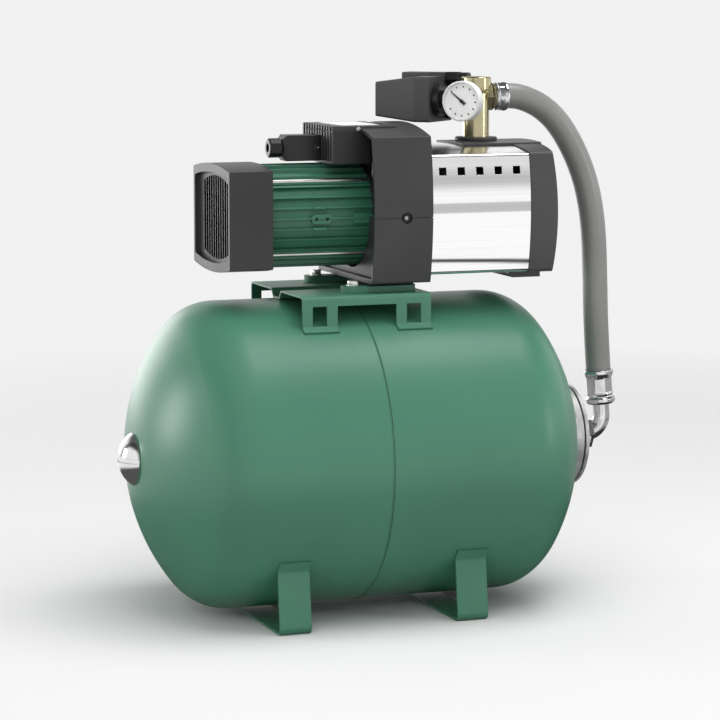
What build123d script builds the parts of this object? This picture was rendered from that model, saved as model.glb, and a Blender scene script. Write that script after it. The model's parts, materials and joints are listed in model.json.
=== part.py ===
from build123d import *
import math
import os

os.makedirs("parts", exist_ok=True)

# Booster pump set, in millimetres. X runs along the vessel, Z is up, the floor is Z = 0.
# Everything is placed from the plane of the vessel's weld seam (x = 0 here) and moved
# along X at the end, so that the set stands centred on its origin.

# Vessel
vessel_r = 190.0
vessel_wall = 2.0
vessel_clear = 8.0
crown_r = 266.0
knuckle_r = 69.0
left_cyl = 161.0
right_cyl = 188.0
axis_z = vessel_r + vessel_clear
bladder_gap = 12.0
bladder_wall = 1.5
neck_r = 44.0

# Right-hand flange
flange_r = 64.0
flange_bore = 46.0
ring_rise = 7.0
lip = 2.5
plate = 5.0
hub_r = 20.0
hub_len = 6.0
cone_len = 12.0
cone_r = 37.0
bolt_circle = 48.0
bolt_count = 6
bolt_r = 4.0
bolt_af = 13.0
bolt_head = 5.3
bolt_play = 0.5
thread_play = 0.05

# Air valve and its cap on the left end
cap_r = 32.0
cap_len = 17.0
cap_rim = 1.5
cap_wall = 1.2
valve_boss_r = 13.0
valve_boss = 4.5
valve_stem_r = 4.0
valve_stem = 9.0
valve_bore = 1.6
valve_pin_r = 1.0
valve_pin_out = 0.6

# Feet
foot_x = 114.5
foot_width = 40.0
foot_half = 160.0
strap = 3.0
tab_low = 39.2
tab_high = 35.0
strap_bend = 7.0

# Console on the vessel
console_x = (-85.0, 81.0)
console_rise = 12.0
console_top = axis_z + vessel_r + console_rise
console_half = 100.0
sheet = 2.5
sheet_bend = 4.0
apron = 12.5
leg_width = 45.0
window_width = 18.5
window_in = 13.0
window_drop = 36.5
console_tab = 34.0
groove_top = 18.0
groove_low = 12.0
seat = 0.25

# Bars that carry the pump
bar_y = 69.0
bar_width = 24.0
bar_thick = 8.0
bar_x = (-24.0, 71.0)
front_bolt_x = -9.0
rear_bolt_x = 45.0
rear_bolt_y = 63.5
washer_r = 8.0
washer_thick = 1.6
nut_thick = 6.5

# Pump line
pump_rise = 91.0
pump_z = console_top + pump_rise
gap = 0.3

# Motor
motor_x = (-112.7, 20.0)
motor_core = 59.5
motor_fin_r = 64.0
motor_bore = 53.0
fin_thick = 2.0
fin_pitch = 12.8
fin_count = 7
rod_r = 2.6
rod_off = 44.5
rod_seat = 42.0
rod_play = 0.3
stator_bore = 32.0
stator_len = 66.0
winding_len = 16.0
shield_thick = 9.0
boss_x = (-60.0, -34.0)

# Shaft line
shaft_r = 7.0
bearing_r = 17.5
bearing_len = 11.0
shaft_play = 0.04
rotor_gap = 0.4

# Fan and its cover
hood_x = (-168.0, -113.0)
hood_half = 74.0
hood_side = 59.0
hood_rise = 7.0
hood_wall = 2.5
hood_rim = 5.5
hood_recess = 6.5
recess_side = 48.5
recess_bow = 6.5
slot_pitch = 9.2
slot_width = 7.0
slot_count = 11
grille_half = 50.0
grille_side = 42.0
grille_bow = 9.0
web_pitch = 19.0
web_thick = 1.6
fan_r = 57.0
fan_hub = 13.0
fan_blades = 7
blade_thick = 2.2
fan_width = 20.0
fan_back = 14.0

# Terminal box and its connector
box_x = (-31.0, 19.0)
box_half = 57.0
box_low = pump_z + 65.0
box_high = pump_z + 105.0
box_wall = 2.5
lid_thick = 6.0
lid_x = 52.0
rib_pitch = 9.6
rib_count = 11
rib_width = 4.0
rib_high = 1.5
rib_last = -20.0
lid_screw_x = 1.8
lid_screw_r = 2.6
pedestal_half = 14.0
capacitor_r = 14.0
capacitor_len = 74.0
plug_len = 48.0
plug_half = 14.0
plug_z = (box_low + 2.0, box_high - 6.0)
plug_chamfer = 5.0
spigot_half = 10.0
spigot_high = 20.0
spigot_len = 9.0
neck_len = 16.0
gland_r = 12.0
gland_neck = 9.0
gland_bore = 5.5
gland_lip = 3.0

# Two-part cover over the coupling end of the pump
cover_x = (5.0, 81.0)
side_half = 98.0
cover_bow = 9.0
cover_low = console_top + 12.0
cover_edge = pump_z + 99.0
cover_crown = pump_z + 113.0
cover_wall = 3.0
cover_base = 6.0
cover_split = pump_z + 1.0
split_gap = 0.4
motor_mouth = 66.5
mouth_rim = 3.5
mouth_depth = 8.0
cover_screw_x = 47.0
cover_screw_r = 4.0
cover_recess_r = 7.0
cover_recess = 5.0

# Lantern between motor and hydraulics
lantern_leg = (30.0, 62.0)
lantern_half = 26.0
lantern_foot = (15.0, 71.0)
lantern_foot_half = 71.0

# Stainless shroud over the stages, and the end cap
shroud_x = (79.0, 210.7)
shroud_bow = 8.0
shroud_low = pump_z - 70.0
shroud_edge = pump_z + 76.0
shroud_crown = pump_z + 85.0
shroud_wall = 1.0
hole_size = 9.8
hole_pitch = 24.4
hole_count = 5
hole_first = 95.0
hole_z = pump_z + 56.0
end_x = 211.0
end_len = 47.5
end_dome = 485.0
end_wall = 3.0
tongue_x = 145.0
tongue_half = 45.0
tongue_rise = 1.6
foot_block = (197.0, 239.0)
foot_block_half = 70.0
foot_block_low = shroud_low - 10.0

# Hydraulics
casing_x = (72.0, 250.0)
casing_r = 66.0
casing_wall = 2.0
casing_head = 4.0
port_r = 15.15
port_boss_r = 21.0
port_out = 12.0
seal_r = 16.0
stage_first = 84.0
stage_pitch = 32.0
stage_count = 4
bowl_wall = 1.6
impeller_r = 52.0
impeller_len = 14.0
impeller_eye = 22.0
vane_count = 6
vane_thick = 2.0

# Five-way brass fitting
tee_x = 180.5
boss_r = 20.0
boss_top = shroud_crown + 1.0
collar_r = 26.5
collar_top = boss_top + 6.0
tee_r = 16.5
tee_bore = 12.0
tee_low = boss_top - 15.0
tee_top = boss_top + 81.0
bead_z = tee_top - 18.0
head_r = 18.5
female_depth = 16.0
branch_z = tee_top - 25.0
branch_r = 14.0
branch_bore = 11.0
branch_len = 21.0
side_port_z = tee_top - 29.0
side_port_r = 9.0
side_port_len = 21.0
side_thread = 6.0

# Gauge
gauge_r = 25.0
gauge_back = 35.0
gauge_front = 50.0
gauge_rim = 2.2
dial_in = 3.4
dial_thick = 0.6
needle_len = 17.5
needle_tail = 6.0
needle_thick = 0.7
needle_zero = 51.0
glass_in = 1.0
glass_thick = 0.8

# Pressure switch
switch_back = 53.5
switch_base = 21.5
switch_cover = 52.0
switch_left = 26.5
switch_right = 47.5
switch_half = 28.5
switch_end_half = 21.75
switch_wall = 2.5
membrane_r = 20.5
membrane_len = 9.5
union_af = 22.0
switch_gland_x = -35.0
switch_gland_y = (-16.0, 24.0)
switch_gland_af = 19.0
switch_gland_len = 29.0
ridge_x = (-47.5, -22.0)
ridge_top = 33.0
ridge_end = 112.0
plunger_r = 3.0
plunger_len = 10.0
plunger_in = 5.0
lever_x = -34.0
lever_len = 52.0
lever_half = 9.0
lever_thick = 1.6
lever_pin_r = 1.5
hinge_out = 3.5

# Hose, its ferrules and the elbow
hose_r = 16.0
nut_len = 3.6
nut_r = 17.4
ferrule_r = 17.6
ferrule_flare = 18.4
ferrule_len = 16.7
hose_in = 13.0
mouth_play = 0.8
elbow_r = 10.75
elbow_wall = 1.5
elbow_bend = 22.0
elbow_turn = 95.0
elbow_tail = 14.0
elbow_start = 5.0
elbow_nut_af = 35.5
elbow_nut_len = 9.0
lower_ferrule_r = 18.2
lower_ferrule_len = 44.0

# Lengths that follow
head_reach = math.sqrt((crown_r - knuckle_r) ** 2 - (vessel_r - knuckle_r) ** 2)
head_depth = crown_r - head_reach
left_tip = -(left_cyl + head_depth)
right_tip = right_cyl + head_depth
ring_face = right_tip + ring_rise
plate_face = ring_face + lip
hub_end = plate_face + plate + cone_len + hub_len
elbow_x = hub_end + elbow_start
lean = math.radians(elbow_turn - 90)
elbow_top_x = elbow_x + elbow_bend * math.cos(lean) - elbow_tail * math.sin(lean)
elbow_top_z = axis_z + elbow_bend * (1 + math.sin(lean)) + elbow_tail * math.cos(lean)
cap_tip = left_tip - cap_len
elbow_reach = elbow_x + elbow_bend + elbow_r
to_origin = Pos(-(cap_tip + elbow_reach) / 2, 0, 0)


def save(name, *shapes):
    moved = [to_origin * shape for shape in shapes]
    solids = [solid for shape in moved for solid in shape.solids()]
    export_step(solids[0] if len(solids) == 1 else Compound(children=solids), f"parts/{name}.step")


def block(x, y, z):
    size = [end - start for start, end in (x, y, z)]
    centre = [(start + end) / 2 for start, end in (x, y, z)]
    return Pos(*centre) * Box(*size)


def rod(radius, start, end, y=0.0, z=pump_z):
    return Pos((start + end) / 2, y, z) * Rot(0, 90, 0) * Cylinder(radius, end - start)


def post(radius, low, high, x, y=0.0):
    return Pos(x, y, (low + high) / 2) * Cylinder(radius, high - low)


def ring(outer, inner, start, end, z=pump_z):
    return rod(outer, start, end, z=z) - rod(inner, start, end, z=z)


def turned(points, z=pump_z):
    # A solid turned about an axis along X, from (x, radius) points.
    return Pos(0, 0, z) * revolve(make_face(Polyline(*points, close=True)), Axis.X)


def lathe(points, x, y=0.0):
    # A solid turned about a vertical axis, from (radius, z) points.
    return Pos(x, y, 0) * revolve(Plane.XZ * make_face(Polyline(*points, close=True)), Axis.Z)


def along_x(sketch, start, end):
    return extrude(Plane.YZ.offset(start) * sketch, end - start)


def hexagon(flats, bore=0.0):
    shape = RegularPolygon(flats / math.sqrt(3), 6)
    return shape - Circle(bore) if bore else shape


def about_axis(count, radius, start=0.0):
    # (y, z) centres on a circle round the vessel's axis.
    steps = [math.radians(start + 360 * i / count) for i in range(count)]
    return [(radius * math.sin(a), axis_z + radius * math.cos(a)) for a in steps]


# Vessel halves: a cylinder closed by a torispherical head
def on_circle(x, y, radius, angle):
    return (x + radius * math.cos(angle), y + radius * math.sin(angle))


def half_vessel(cyl, inset):
    radius = vessel_r - inset
    join = math.atan2(vessel_r - knuckle_r, head_reach)
    middle = (join + math.pi / 2) / 2
    knuckle = (cyl, vessel_r - knuckle_r, knuckle_r - inset)
    crown = (cyl - head_reach, 0, crown_r - inset)
    meet = on_circle(*crown, join)
    outline = Polyline((0, 0), (0, radius), (cyl, radius))
    outline += ThreePointArc((cyl, radius), on_circle(*knuckle, middle), meet)
    outline += ThreePointArc(meet, on_circle(*crown, join / 2), on_circle(*crown, 0))
    outline += Line(on_circle(*crown, 0), (0, 0))
    return Pos(0, 0, axis_z) * revolve(make_face(outline), Axis.X)


left_solid = mirror(half_vessel(left_cyl, 0), Plane.YZ)
left_shell = left_solid - mirror(half_vessel(left_cyl, vessel_wall), Plane.YZ)
left_shell -= rod(valve_stem_r, left_tip - 1, left_tip + vessel_wall + 1, z=axis_z)
right_solid = half_vessel(right_cyl, 0)
right_shell = right_solid - half_vessel(right_cyl, vessel_wall)
right_shell -= rod(flange_bore, right_tip - 20, right_tip + 1, z=axis_z)
save("tank_left_shell", left_shell)
save("tank_right_shell", right_shell)

# Welded flange ring, bladder, counter flange and its bolts
bolt_places = about_axis(bolt_count, bolt_circle, 30)


def bolt_holes(radius, start, end):
    return [rod(radius, start, end, y, z) for y, z in bolt_places]


ring_back = right_cyl + head_depth / 2
flange_ring = ring(flange_r, flange_bore, ring_back, ring_face, axis_z) - right_solid
flange_ring -= bolt_holes(bolt_r + thread_play, ring_back, ring_face + 1)
save("tank_flange_ring", flange_ring)

inner = bladder_gap + bladder_wall
bag = half_vessel(right_cyl, bladder_gap) + mirror(half_vessel(left_cyl, bladder_gap), Plane.YZ)
bag += rod(neck_r, right_tip - bladder_gap * 2, ring_face, z=axis_z)
bag -= half_vessel(right_cyl, inner) + mirror(half_vessel(left_cyl, inner), Plane.YZ)
bag += rod(flange_r - 2, ring_face, plate_face, z=axis_z)
bag -= rod(neck_r - bladder_wall, right_tip - bladder_gap * 3, plate_face + 1, z=axis_z)
bag -= bolt_holes(bolt_r + bolt_play, ring_face - 1, plate_face + 1)
save("bladder", bag)

plate_front = plate_face + plate
hub_start = plate_front + cone_len
counter = turned([(plate_face, elbow_r + thread_play), (plate_face, flange_r), (plate_front - 1, flange_r),
                  (plate_front, flange_r - 1), (plate_front, cone_r), (hub_start, hub_r),
                  (hub_end, hub_r), (hub_end, elbow_r + thread_play)], axis_z)
counter -= bolt_holes(bolt_r + bolt_play, plate_face - 1, plate_front + 1)
save("counter_flange", counter)

hex_head = along_x(hexagon(bolt_af), plate_front, plate_front + bolt_head)
shank_end = ring_face - 10
flange_bolts = [Pos(0, y, z) * hex_head + rod(bolt_r, shank_end, plate_front, y, z)
                for y, z in bolt_places]
save("flange_bolts", *flange_bolts)

# Air valve and the chrome cap over it
stem_tip = left_tip - valve_boss - valve_stem
valve_inside = left_tip + vessel_wall + 0.1
valve = rod(valve_boss_r, left_tip - valve_boss, left_tip + vessel_wall, z=axis_z) - left_solid
valve += turned([(stem_tip, 0), (stem_tip, valve_stem_r - 0.6), (stem_tip + 1, valve_stem_r),
                 (valve_inside + 4, valve_stem_r), (valve_inside + 4, 0)], axis_z)
valve += rod(valve_stem_r + 2, valve_inside, valve_inside + 3, z=axis_z)
valve -= rod(valve_bore, stem_tip - 1, valve_inside + 5, z=axis_z)
save("air_valve", valve)
pin_seat = ring(valve_bore - gap, valve_pin_r, stem_tip + 4, stem_tip + 6, axis_z)
save("air_valve_pin", rod(valve_pin_r, stem_tip - valve_pin_out, left_tip, z=axis_z) + pin_seat)

cap_foot = left_tip + crown_r - math.sqrt(crown_r ** 2 - cap_r ** 2) - gap
cap_depth = cap_foot - cap_rim - cap_tip
cap_dome = (cap_r ** 2 + cap_depth ** 2) / (2 * cap_depth)
dome_centre = Pos(cap_tip + cap_dome, 0, axis_z)
cap = (dome_centre * Sphere(cap_dome)) & rod(cap_r, cap_tip - 1, cap_foot, z=axis_z)
cap -= (dome_centre * Sphere(cap_dome - cap_wall)) & rod(cap_r - cap_wall, cap_tip - 1, cap_foot + 1, z=axis_z)
save("valve_cover", cap)


# Feet: one bent strap each
def at_angle(radius, degrees):
    angle = math.radians(degrees)
    return (radius * math.cos(angle), axis_z - radius * math.sin(angle))


tab_r = vessel_r + strap / 2 + seat
tab_end = at_angle(tab_r, tab_high)
tab_start = at_angle(tab_r, tab_low)
floor_end = (foot_half - strap / 2, strap / 2)
half_strap = [floor_end, tab_start, tab_end]
strap_path = [(-y, z) for y, z in reversed(half_strap)] + half_strap
foot_face = trace(FilletPolyline(*strap_path, radius=strap_bend), strap)
foot = along_x(foot_face, -foot_width / 2, foot_width / 2)
save("foot_left", Pos(-foot_x, 0, 0) * foot)
save("foot_right", Pos(foot_x, 0, 0) * foot)

# Console: a bent sheet with a stiffening groove that rests along the vessel's top
half_sheet = sheet / 2
wrap_r = vessel_r + half_sheet + seat
leg_y = console_half - half_sheet
leg_angle = math.degrees(math.acos(leg_y / wrap_r))
top_mid = console_top - half_sheet
groove_mid = axis_z + wrap_r


def above(radius, degrees):
    angle = math.radians(degrees)
    return (radius * math.cos(angle), axis_z + radius * math.sin(angle))


half_console = [(groove_low, groove_mid), (groove_top, top_mid), (leg_y, top_mid),
                (leg_y, above(wrap_r, leg_angle)[1]), above(wrap_r, 90 - console_tab)]
sheet_path = [(-y, z) for y, z in reversed(half_console)] + half_console
console = along_x(trace(FilletPolyline(*sheet_path, radius=sheet_bend), sheet), *console_x)
leg_ends = (console_x[0] + leg_width, console_x[1] - leg_width)
bar_bolts = ((front_bolt_x, bar_y), (rear_bolt_x, rear_bolt_y))
apron_low = console_top - apron
for side in (-1, 1):
    wall_y = sorted((side * (console_half - 12), side * (console_half + 40)))
    console -= block(leg_ends, wall_y, (axis_z + vessel_r / 2, apron_low))
    for start in (console_x[0] + window_in, console_x[1] - window_in - window_width):
        console -= block((start, start + window_width), wall_y, (console_top - window_drop, apron_low))
    for x, y in bar_bolts:
        console -= post(bolt_r + bolt_play, console_top - 10, console_top + 10, x, side * y)
save("console", console)

# Carrier bars, their screws, washers and nuts
bar_top = console_top + bar_thick


def carrier_bar(side):
    bar = block(bar_x, (bar_y - bar_width / 2, bar_y + bar_width / 2), (console_top, bar_top))
    bar = fillet(bar.edges().filter_by(Axis.Z), bar_width / 2 - 1)
    bar -= [post(bolt_r + bolt_play, console_top - 1, bar_top + 1, x, y) for x, y in bar_bolts]
    return bar if side > 0 else mirror(bar, Plane.XZ)


save("carrier_bar_front", carrier_bar(-1))
save("carrier_bar_rear", carrier_bar(1))

sheet_low = console_top - sheet
nut_low = sheet_low - nut_thick
bolt_tip = 0.5
head_low = bar_top + washer_thick
screws = []
washers = []
nuts = []
for side in (-1, 1):
    y = side * bar_y
    head = Pos(front_bolt_x, y, head_low) * extrude(hexagon(bolt_af), bolt_head)
    screws.append(head + post(bolt_r, nut_low - 2, head_low, front_bolt_x, y))
    washer = post(washer_r, bar_top, head_low, front_bolt_x, y)
    washers.append(washer - post(bolt_r + thread_play, bar_top, head_low, front_bolt_x, y))
    nut = extrude(hexagon(bolt_af, bolt_r + thread_play), nut_thick)
    nuts.append(Pos(front_bolt_x, y, nut_low) * nut)
    y = side * rear_bolt_y
    under = Pos(rear_bolt_x, y, sheet_low - bolt_head) * extrude(hexagon(bolt_af), bolt_head)
    screws.append(under + post(bolt_r, sheet_low, cover_low - bolt_tip, rear_bolt_x, y))
save("carrier_fixings", *screws, *washers, *nuts)


# Motor housing: a tube with level fins cut to a round envelope
def motor_housing():
    envelope = Circle(motor_fin_r)
    fins = Sketch()
    for i in range(fin_count):
        level = (i - (fin_count - 1) / 2) * fin_pitch
        fins += Pos(0, level) * Rectangle(2 * motor_fin_r, fin_thick)
        fins += Pos(level, 0) * Rectangle(fin_thick, 2 * motor_fin_r)
    section = Circle(motor_core) + (fins & envelope)
    for a in (-1, 1):
        for b in (-1, 1):
            section += Pos(a * rod_seat, b * rod_seat) * Circle(rod_r * 2)
            section -= Pos(a * rod_off, b * rod_off) * Circle(rod_r + rod_play)
    section -= Circle(motor_bore)
    return Pos(0, 0, pump_z) * along_x(section, *motor_x)


housing = motor_housing()
pedestal_x = (box_x[0] + 4, box_x[1] - 6)
pedestal = block(pedestal_x, (-pedestal_half, pedestal_half), (pump_z + motor_core - 22, box_low))
housing += pedestal - rod(motor_core - 1, *pedestal_x)
for x in (boss_x, (-7.0, motor_x[1])):
    pad = block(x, (-motor_fin_r + 1, motor_fin_r - 1), (pump_z - 7, pump_z + 5))
    pad = fillet(pad.edges().filter_by(Axis.Y), 5)
    housing += pad - rod(motor_core - 1, *x)
for x in (boss_x[0] + 6, boss_x[1] - 6):
    for side in (-1, 1):
        housing -= Pos(x, side * motor_fin_r, pump_z - 1) * Rot(90, 0, 0) * Cylinder(2, 10)
save("motor_housing", housing)

shield_x = (motor_x[0] - shield_thick, motor_x[0])
rods = [rod(rod_r, shield_x[0] - 3, motor_x[1], a * rod_off, pump_z + b * rod_off)
        for a in (-1, 1) for b in (-1, 1)]
save("tie_rods", *rods)

stator_mid = (motor_x[0] + motor_x[1]) / 2 - 4
stator_x = (stator_mid - stator_len / 2, stator_mid + stator_len / 2)
save("stator", ring(motor_bore, stator_bore, *stator_x))
windings = [ring(motor_bore - 5, stator_bore + 2, stator_x[0] - winding_len, stator_x[0]),
            ring(motor_bore - 5, stator_bore + 2, stator_x[1], stator_x[1] + winding_len)]
save("windings", *windings)


# Sections with an arched top, bowed sides and a flat base
def bowed(half, bow, low, edge, crown, inset=0.0):
    y = half - inset
    foot = low + inset
    top = edge - inset
    waist = (foot + top) / 2
    outline = Line((-y, foot), (y, foot))
    outline += ThreePointArc((y, foot), (y + bow, waist), (y, top))
    outline += ThreePointArc((y, top), (0, crown - inset), (-y, top))
    outline += ThreePointArc((-y, top), (-y - bow, waist), (-y, foot))
    return make_face(outline)


def barrel(y, z, rise):
    # A flat-sided section with its top and bottom arched by the rise.
    outline = Line((y, -z), (y, z)) + ThreePointArc((y, z), (0, z + rise), (-y, z))
    outline += Line((-y, z), (-y, -z)) + ThreePointArc((-y, -z), (0, -z - rise), (y, -z))
    return Pos(0, pump_z) * make_face(outline)


def hood_section(inset=0.0):
    return barrel(hood_half - inset, hood_side - inset, hood_rise)


# Fan cover: a thin hood whose end is a recessed grille of upright slots
hood = along_x(hood_section(), *hood_x) - along_x(hood_section(hood_wall), hood_x[0] + hood_wall, hood_x[1])
grille_x = (hood_x[0] + hood_recess, hood_x[0] + hood_recess + hood_wall)
hood += along_x(barrel(hood_half - 1, recess_side + hood_wall, recess_bow), hood_x[0] + 1, grille_x[1])
recess = along_x(barrel(hood_half - hood_rim, recess_side, recess_bow), hood_x[0] - 1, grille_x[0])
hood -= fillet(recess.edges().filter_by(Axis.X), 4)
slots = Sketch()
for i in range(slot_count):
    level = (i - (slot_count - 1) / 2) * slot_pitch
    slots += Pos(level, pump_z) * Rectangle(slot_width, 3 * grille_half)
slots &= barrel(grille_half, grille_side, grille_bow)
hood -= along_x(slots, grille_x[0] - 1, grille_x[1] + 1)
for i in (-1.5, -0.5, 0.5, 1.5):
    web_z = (pump_z + i * web_pitch - web_thick / 2, pump_z + i * web_pitch + web_thick / 2)
    hood += block((grille_x[1] - 1.2, grille_x[1]), (-grille_half - 0.5, grille_half + 0.5), web_z)
save("fan_cover", hood)

# End shield that closes the motor and carries the fan cover and a bearing
bearing_left = (shield_x[0] - 2, shield_x[0] - 2 + bearing_len)
shield = along_x(hood_section(hood_wall + gap), shield_x[0], shield_x[0] + 5)
shield += rod(motor_bore - gap, shield_x[0], motor_x[0] + 6)
shield += rod(bearing_r + 5, shield_x[0] - 4, shield_x[0])
shield -= rod(bearing_r, *bearing_left)
shield -= rod(shaft_r + 1.5, shield_x[0] - 5, motor_x[0] + 7)
shield -= [rod(rod_r + thread_play, shield_x[0] - 1, motor_x[0] + 7, a * rod_off,
               pump_z + b * rod_off) for a in (-1, 1) for b in (-1, 1)]
save("end_shield", shield)

bearing_right = (motor_x[1] + 2, motor_x[1] + 2 + bearing_len)
bearings = [ring(bearing_r, shaft_r + shaft_play, *x) for x in (bearing_left, bearing_right)]
save("bearings", *bearings)

# Shaft, rotor core and fan
fan_x = (hood_x[0] + fan_back, hood_x[0] + fan_back + fan_width)
last_stage = stage_first + stage_pitch * (stage_count - 1)
shaft = rod(shaft_r, fan_x[0] - 2, last_stage + impeller_len + 6)
save("pump_shaft", shaft)
core = ring(stator_bore - rotor_gap, shaft_r, *stator_x)
save("rotor_core", core)
fan = rod(fan_hub, *fan_x) + rod(fan_r * 0.55, fan_x[1] - 3, fan_x[1])
blade = Pos((fan_x[0] + fan_x[1]) / 2, 0, (fan_hub + fan_r) / 2)
blade = blade * Box(fan_width, blade_thick, fan_r - fan_hub + 2)
for i in range(fan_blades):
    fan += Pos(0, 0, pump_z) * Rot(360 / fan_blades * i, 0, 0) * blade
fan -= rod(shaft_r, fan_x[0] - 3, fan_x[1] + 1)
save("fan", fan)

# Lantern: bearing seat, drum and foot in one casting
seat_x = (motor_x[1], bearing_right[1])
drum_r = 44.0
lantern = turned([(motor_x[1], bearing_r), (motor_x[1], motor_core), (motor_x[1] + 8, motor_core),
                  (motor_x[1] + 14, drum_r), (casing_x[0] - 10, drum_r), (casing_x[0] - 6, casing_r - 2),
                  (casing_x[0], casing_r - 2), (casing_x[0], 30), (seat_x[1] + 6, 30),
                  (seat_x[1] + 6, shaft_r + 3), (seat_x[1], shaft_r + 3), (seat_x[1], bearing_r)])
leg = block(lantern_leg, (-lantern_half, lantern_half), (cover_low, pump_z - 30))
lantern += leg - rod(drum_r - 2, *lantern_leg)
foot_plate = block(lantern_foot, (-lantern_foot_half, lantern_foot_half), (bar_top, cover_low))
lantern += fillet(foot_plate.edges().filter_by(Axis.Z), 6)
lantern -= [post(bolt_r + thread_play, bar_top - 1, cover_low + 1, rear_bolt_x, y)
            for y in (-rear_bolt_y, rear_bolt_y)]
save("lantern", lantern)


# Two-part cover
def cover_solid():
    outer = along_x(bowed(side_half, cover_bow, cover_low, cover_edge, cover_crown), *cover_x)
    outer = fillet(outer.edges().filter_by(Axis.X), 3)
    hollow_x = (cover_x[0] + cover_wall, cover_x[1] - cover_wall)
    hollow = along_x(bowed(side_half, cover_bow, cover_low, cover_edge, cover_crown, cover_wall), *hollow_x)
    hollow -= block(hollow_x, (-130, 130), (cover_low - 1, cover_low + cover_base))
    return outer - hollow


cover = cover_solid()
mouth_back = cover_x[0] + mouth_depth
recess_wall = along_x(bowed(side_half, cover_bow, cover_low, cover_edge, cover_crown, cover_wall - 0.5),
                      mouth_back, mouth_back + cover_wall)
cover += recess_wall
open_mouth = along_x(bowed(side_half, cover_bow, cover_low, cover_edge, cover_crown, mouth_rim),
                     cover_x[0] - 1, mouth_back)
open_mouth -= block((cover_x[0] - 2, mouth_back), (-side_half - 20, side_half + 20),
                    (cover_low, cover_low + cover_base))
cover -= open_mouth
cover -= rod(motor_mouth, cover_x[0] - 1, mouth_back + cover_wall + 1)
passage = bowed(side_half, shroud_bow, shroud_low, shroud_edge, shroud_crown, -0.4)
cover -= along_x(passage, cover_x[1] - cover_wall - 1, cover_x[1] + 1)
sink_y = side_half + cover_bow - cover_recess
lug_depth = 8.0
lug_half = 10.0
lug_x = (cover_screw_x - lug_half, cover_screw_x + lug_half)
screw_shank = 2.0


def toward_side(radius, side, start, end):
    turn = Pos(cover_screw_x, side * (start + end) / 2, cover_split) * Rot(90, 0, 0)
    return turn * Cylinder(radius, end - start)


for side in (-1, 1):
    lug_y = sorted((side * (sink_y - lug_depth), side * (side_half + cover_bow - cover_wall / 2)))
    cover += block(lug_x, lug_y, (cover_split - lug_half, cover_split + lug_half))
    cover -= toward_side(cover_recess_r, side, sink_y, sink_y + 20)
    cover -= toward_side(screw_shank + thread_play, side, sink_y - 20, sink_y + 1)
leg_play = 0.6
leg_hole = block((lantern_leg[0] - leg_play, lantern_leg[1] + leg_play),
                 (-lantern_half - leg_play, lantern_half + leg_play),
                 (cover_low - 1, cover_low + cover_base + 1))
cover -= leg_hole
reach = (cover_x[0] - 50, cover_x[1] + 50)
wide = (-2 * side_half, 2 * side_half)
upper = cover & block(reach, wide, (cover_split + split_gap / 2, cover_crown + 50))
upper -= along_x(bowed(side_half, cover_bow, cover_low, cover_edge, cover_crown, mouth_rim),
                 cover_x[0] - 1, mouth_back + cover_wall + 1)
notch = 0.4
upper -= block((cover_x[0] - 1, lid_x + notch), (-box_half - notch, box_half + notch),
               (box_high - 1, cover_crown + 10))
lower = cover & block(reach, wide, (cover_low - 50, cover_split - split_gap / 2))

cover_screws = [toward_side(cover_screw_r, side, sink_y, sink_y + 2.6)
                + toward_side(screw_shank, side, sink_y - lug_depth, sink_y) for side in (-1, 1)]
save("cover_upper", upper)
save("cover_lower", lower)
save("cover_screws", *cover_screws)

# Terminal box, lid and what they hold
box = block(box_x, (-box_half, box_half), (box_low, box_high))
box = fillet(box.edges().filter_by(Axis.Z), 3)
box -= block((box_x[0] + box_wall, box_x[1] - box_wall), (-box_half + box_wall, box_half - box_wall),
             (box_low + box_wall, box_high + 1))
for i in range(rib_count):
    y = (i - (rib_count - 1) / 2) * rib_pitch
    if y > rib_last:
        beside_plug = abs(y) < plug_half + rib_width
        rib_z = (plug_z[1] + 1 if beside_plug else box_low + 3, box_high - 1)
        box += block((box_x[0] - rib_high, box_x[0] + 1), (y - rib_width / 2, y + rib_width / 2), rib_z)
plug_mid = (plug_z[0] + plug_z[1]) / 2
play = 0.3
box -= block((box_x[0] - 2, box_x[0] + box_wall + 1), (-spigot_half - play, spigot_half + play),
             (plug_mid - spigot_high / 2 - play, plug_mid + spigot_high / 2 + play))
wire_way = 10.0
box -= post(wire_way, box_low - 1, box_low + box_wall + 1, -3)
save("terminal_box", box)

lid = block((box_x[0], lid_x), (-box_half, box_half), (box_high, box_high + lid_thick))
lid = fillet(lid.edges().filter_by(Axis.Z), 3)
lid = fillet(lid.faces().sort_by(Axis.Z)[-1].edges(), 1.5)
lid -= block((box_x[0] + box_wall, lid_x - box_wall), (-box_half + box_wall, box_half - box_wall),
             (box_high - 1, box_high + lid_thick - box_wall))
screw_seat = box_high + lid_thick / 2 - 0.5
lid_head = 1.8
lid_screws = []
for side in (-1, 1):
    turn = Pos(lid_screw_x, side * box_half, screw_seat) * Rot(90, 0, 0)
    shank = turn * Cylinder(1.2, 2 * box_wall - 1)
    lid -= turn * Cylinder(1.25, 3 * box_wall)
    lid_screws.append(shank + Pos(lid_screw_x, side * (box_half + lid_head / 2), screw_seat)
                      * Rot(90, 0, 0) * Cylinder(lid_screw_r, lid_head))
save("terminal_lid", lid)
save("lid_screws", *lid_screws)

capacitor_z = box_low + box_wall + capacitor_r + gap
capacitor_x = box_x[1] - box_wall - capacitor_r - gap
capacitor = Pos(capacitor_x, 0, capacitor_z) * Rot(90, 0, 0) * Cylinder(capacitor_r, capacitor_len)
save("capacitor", capacitor)

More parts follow.
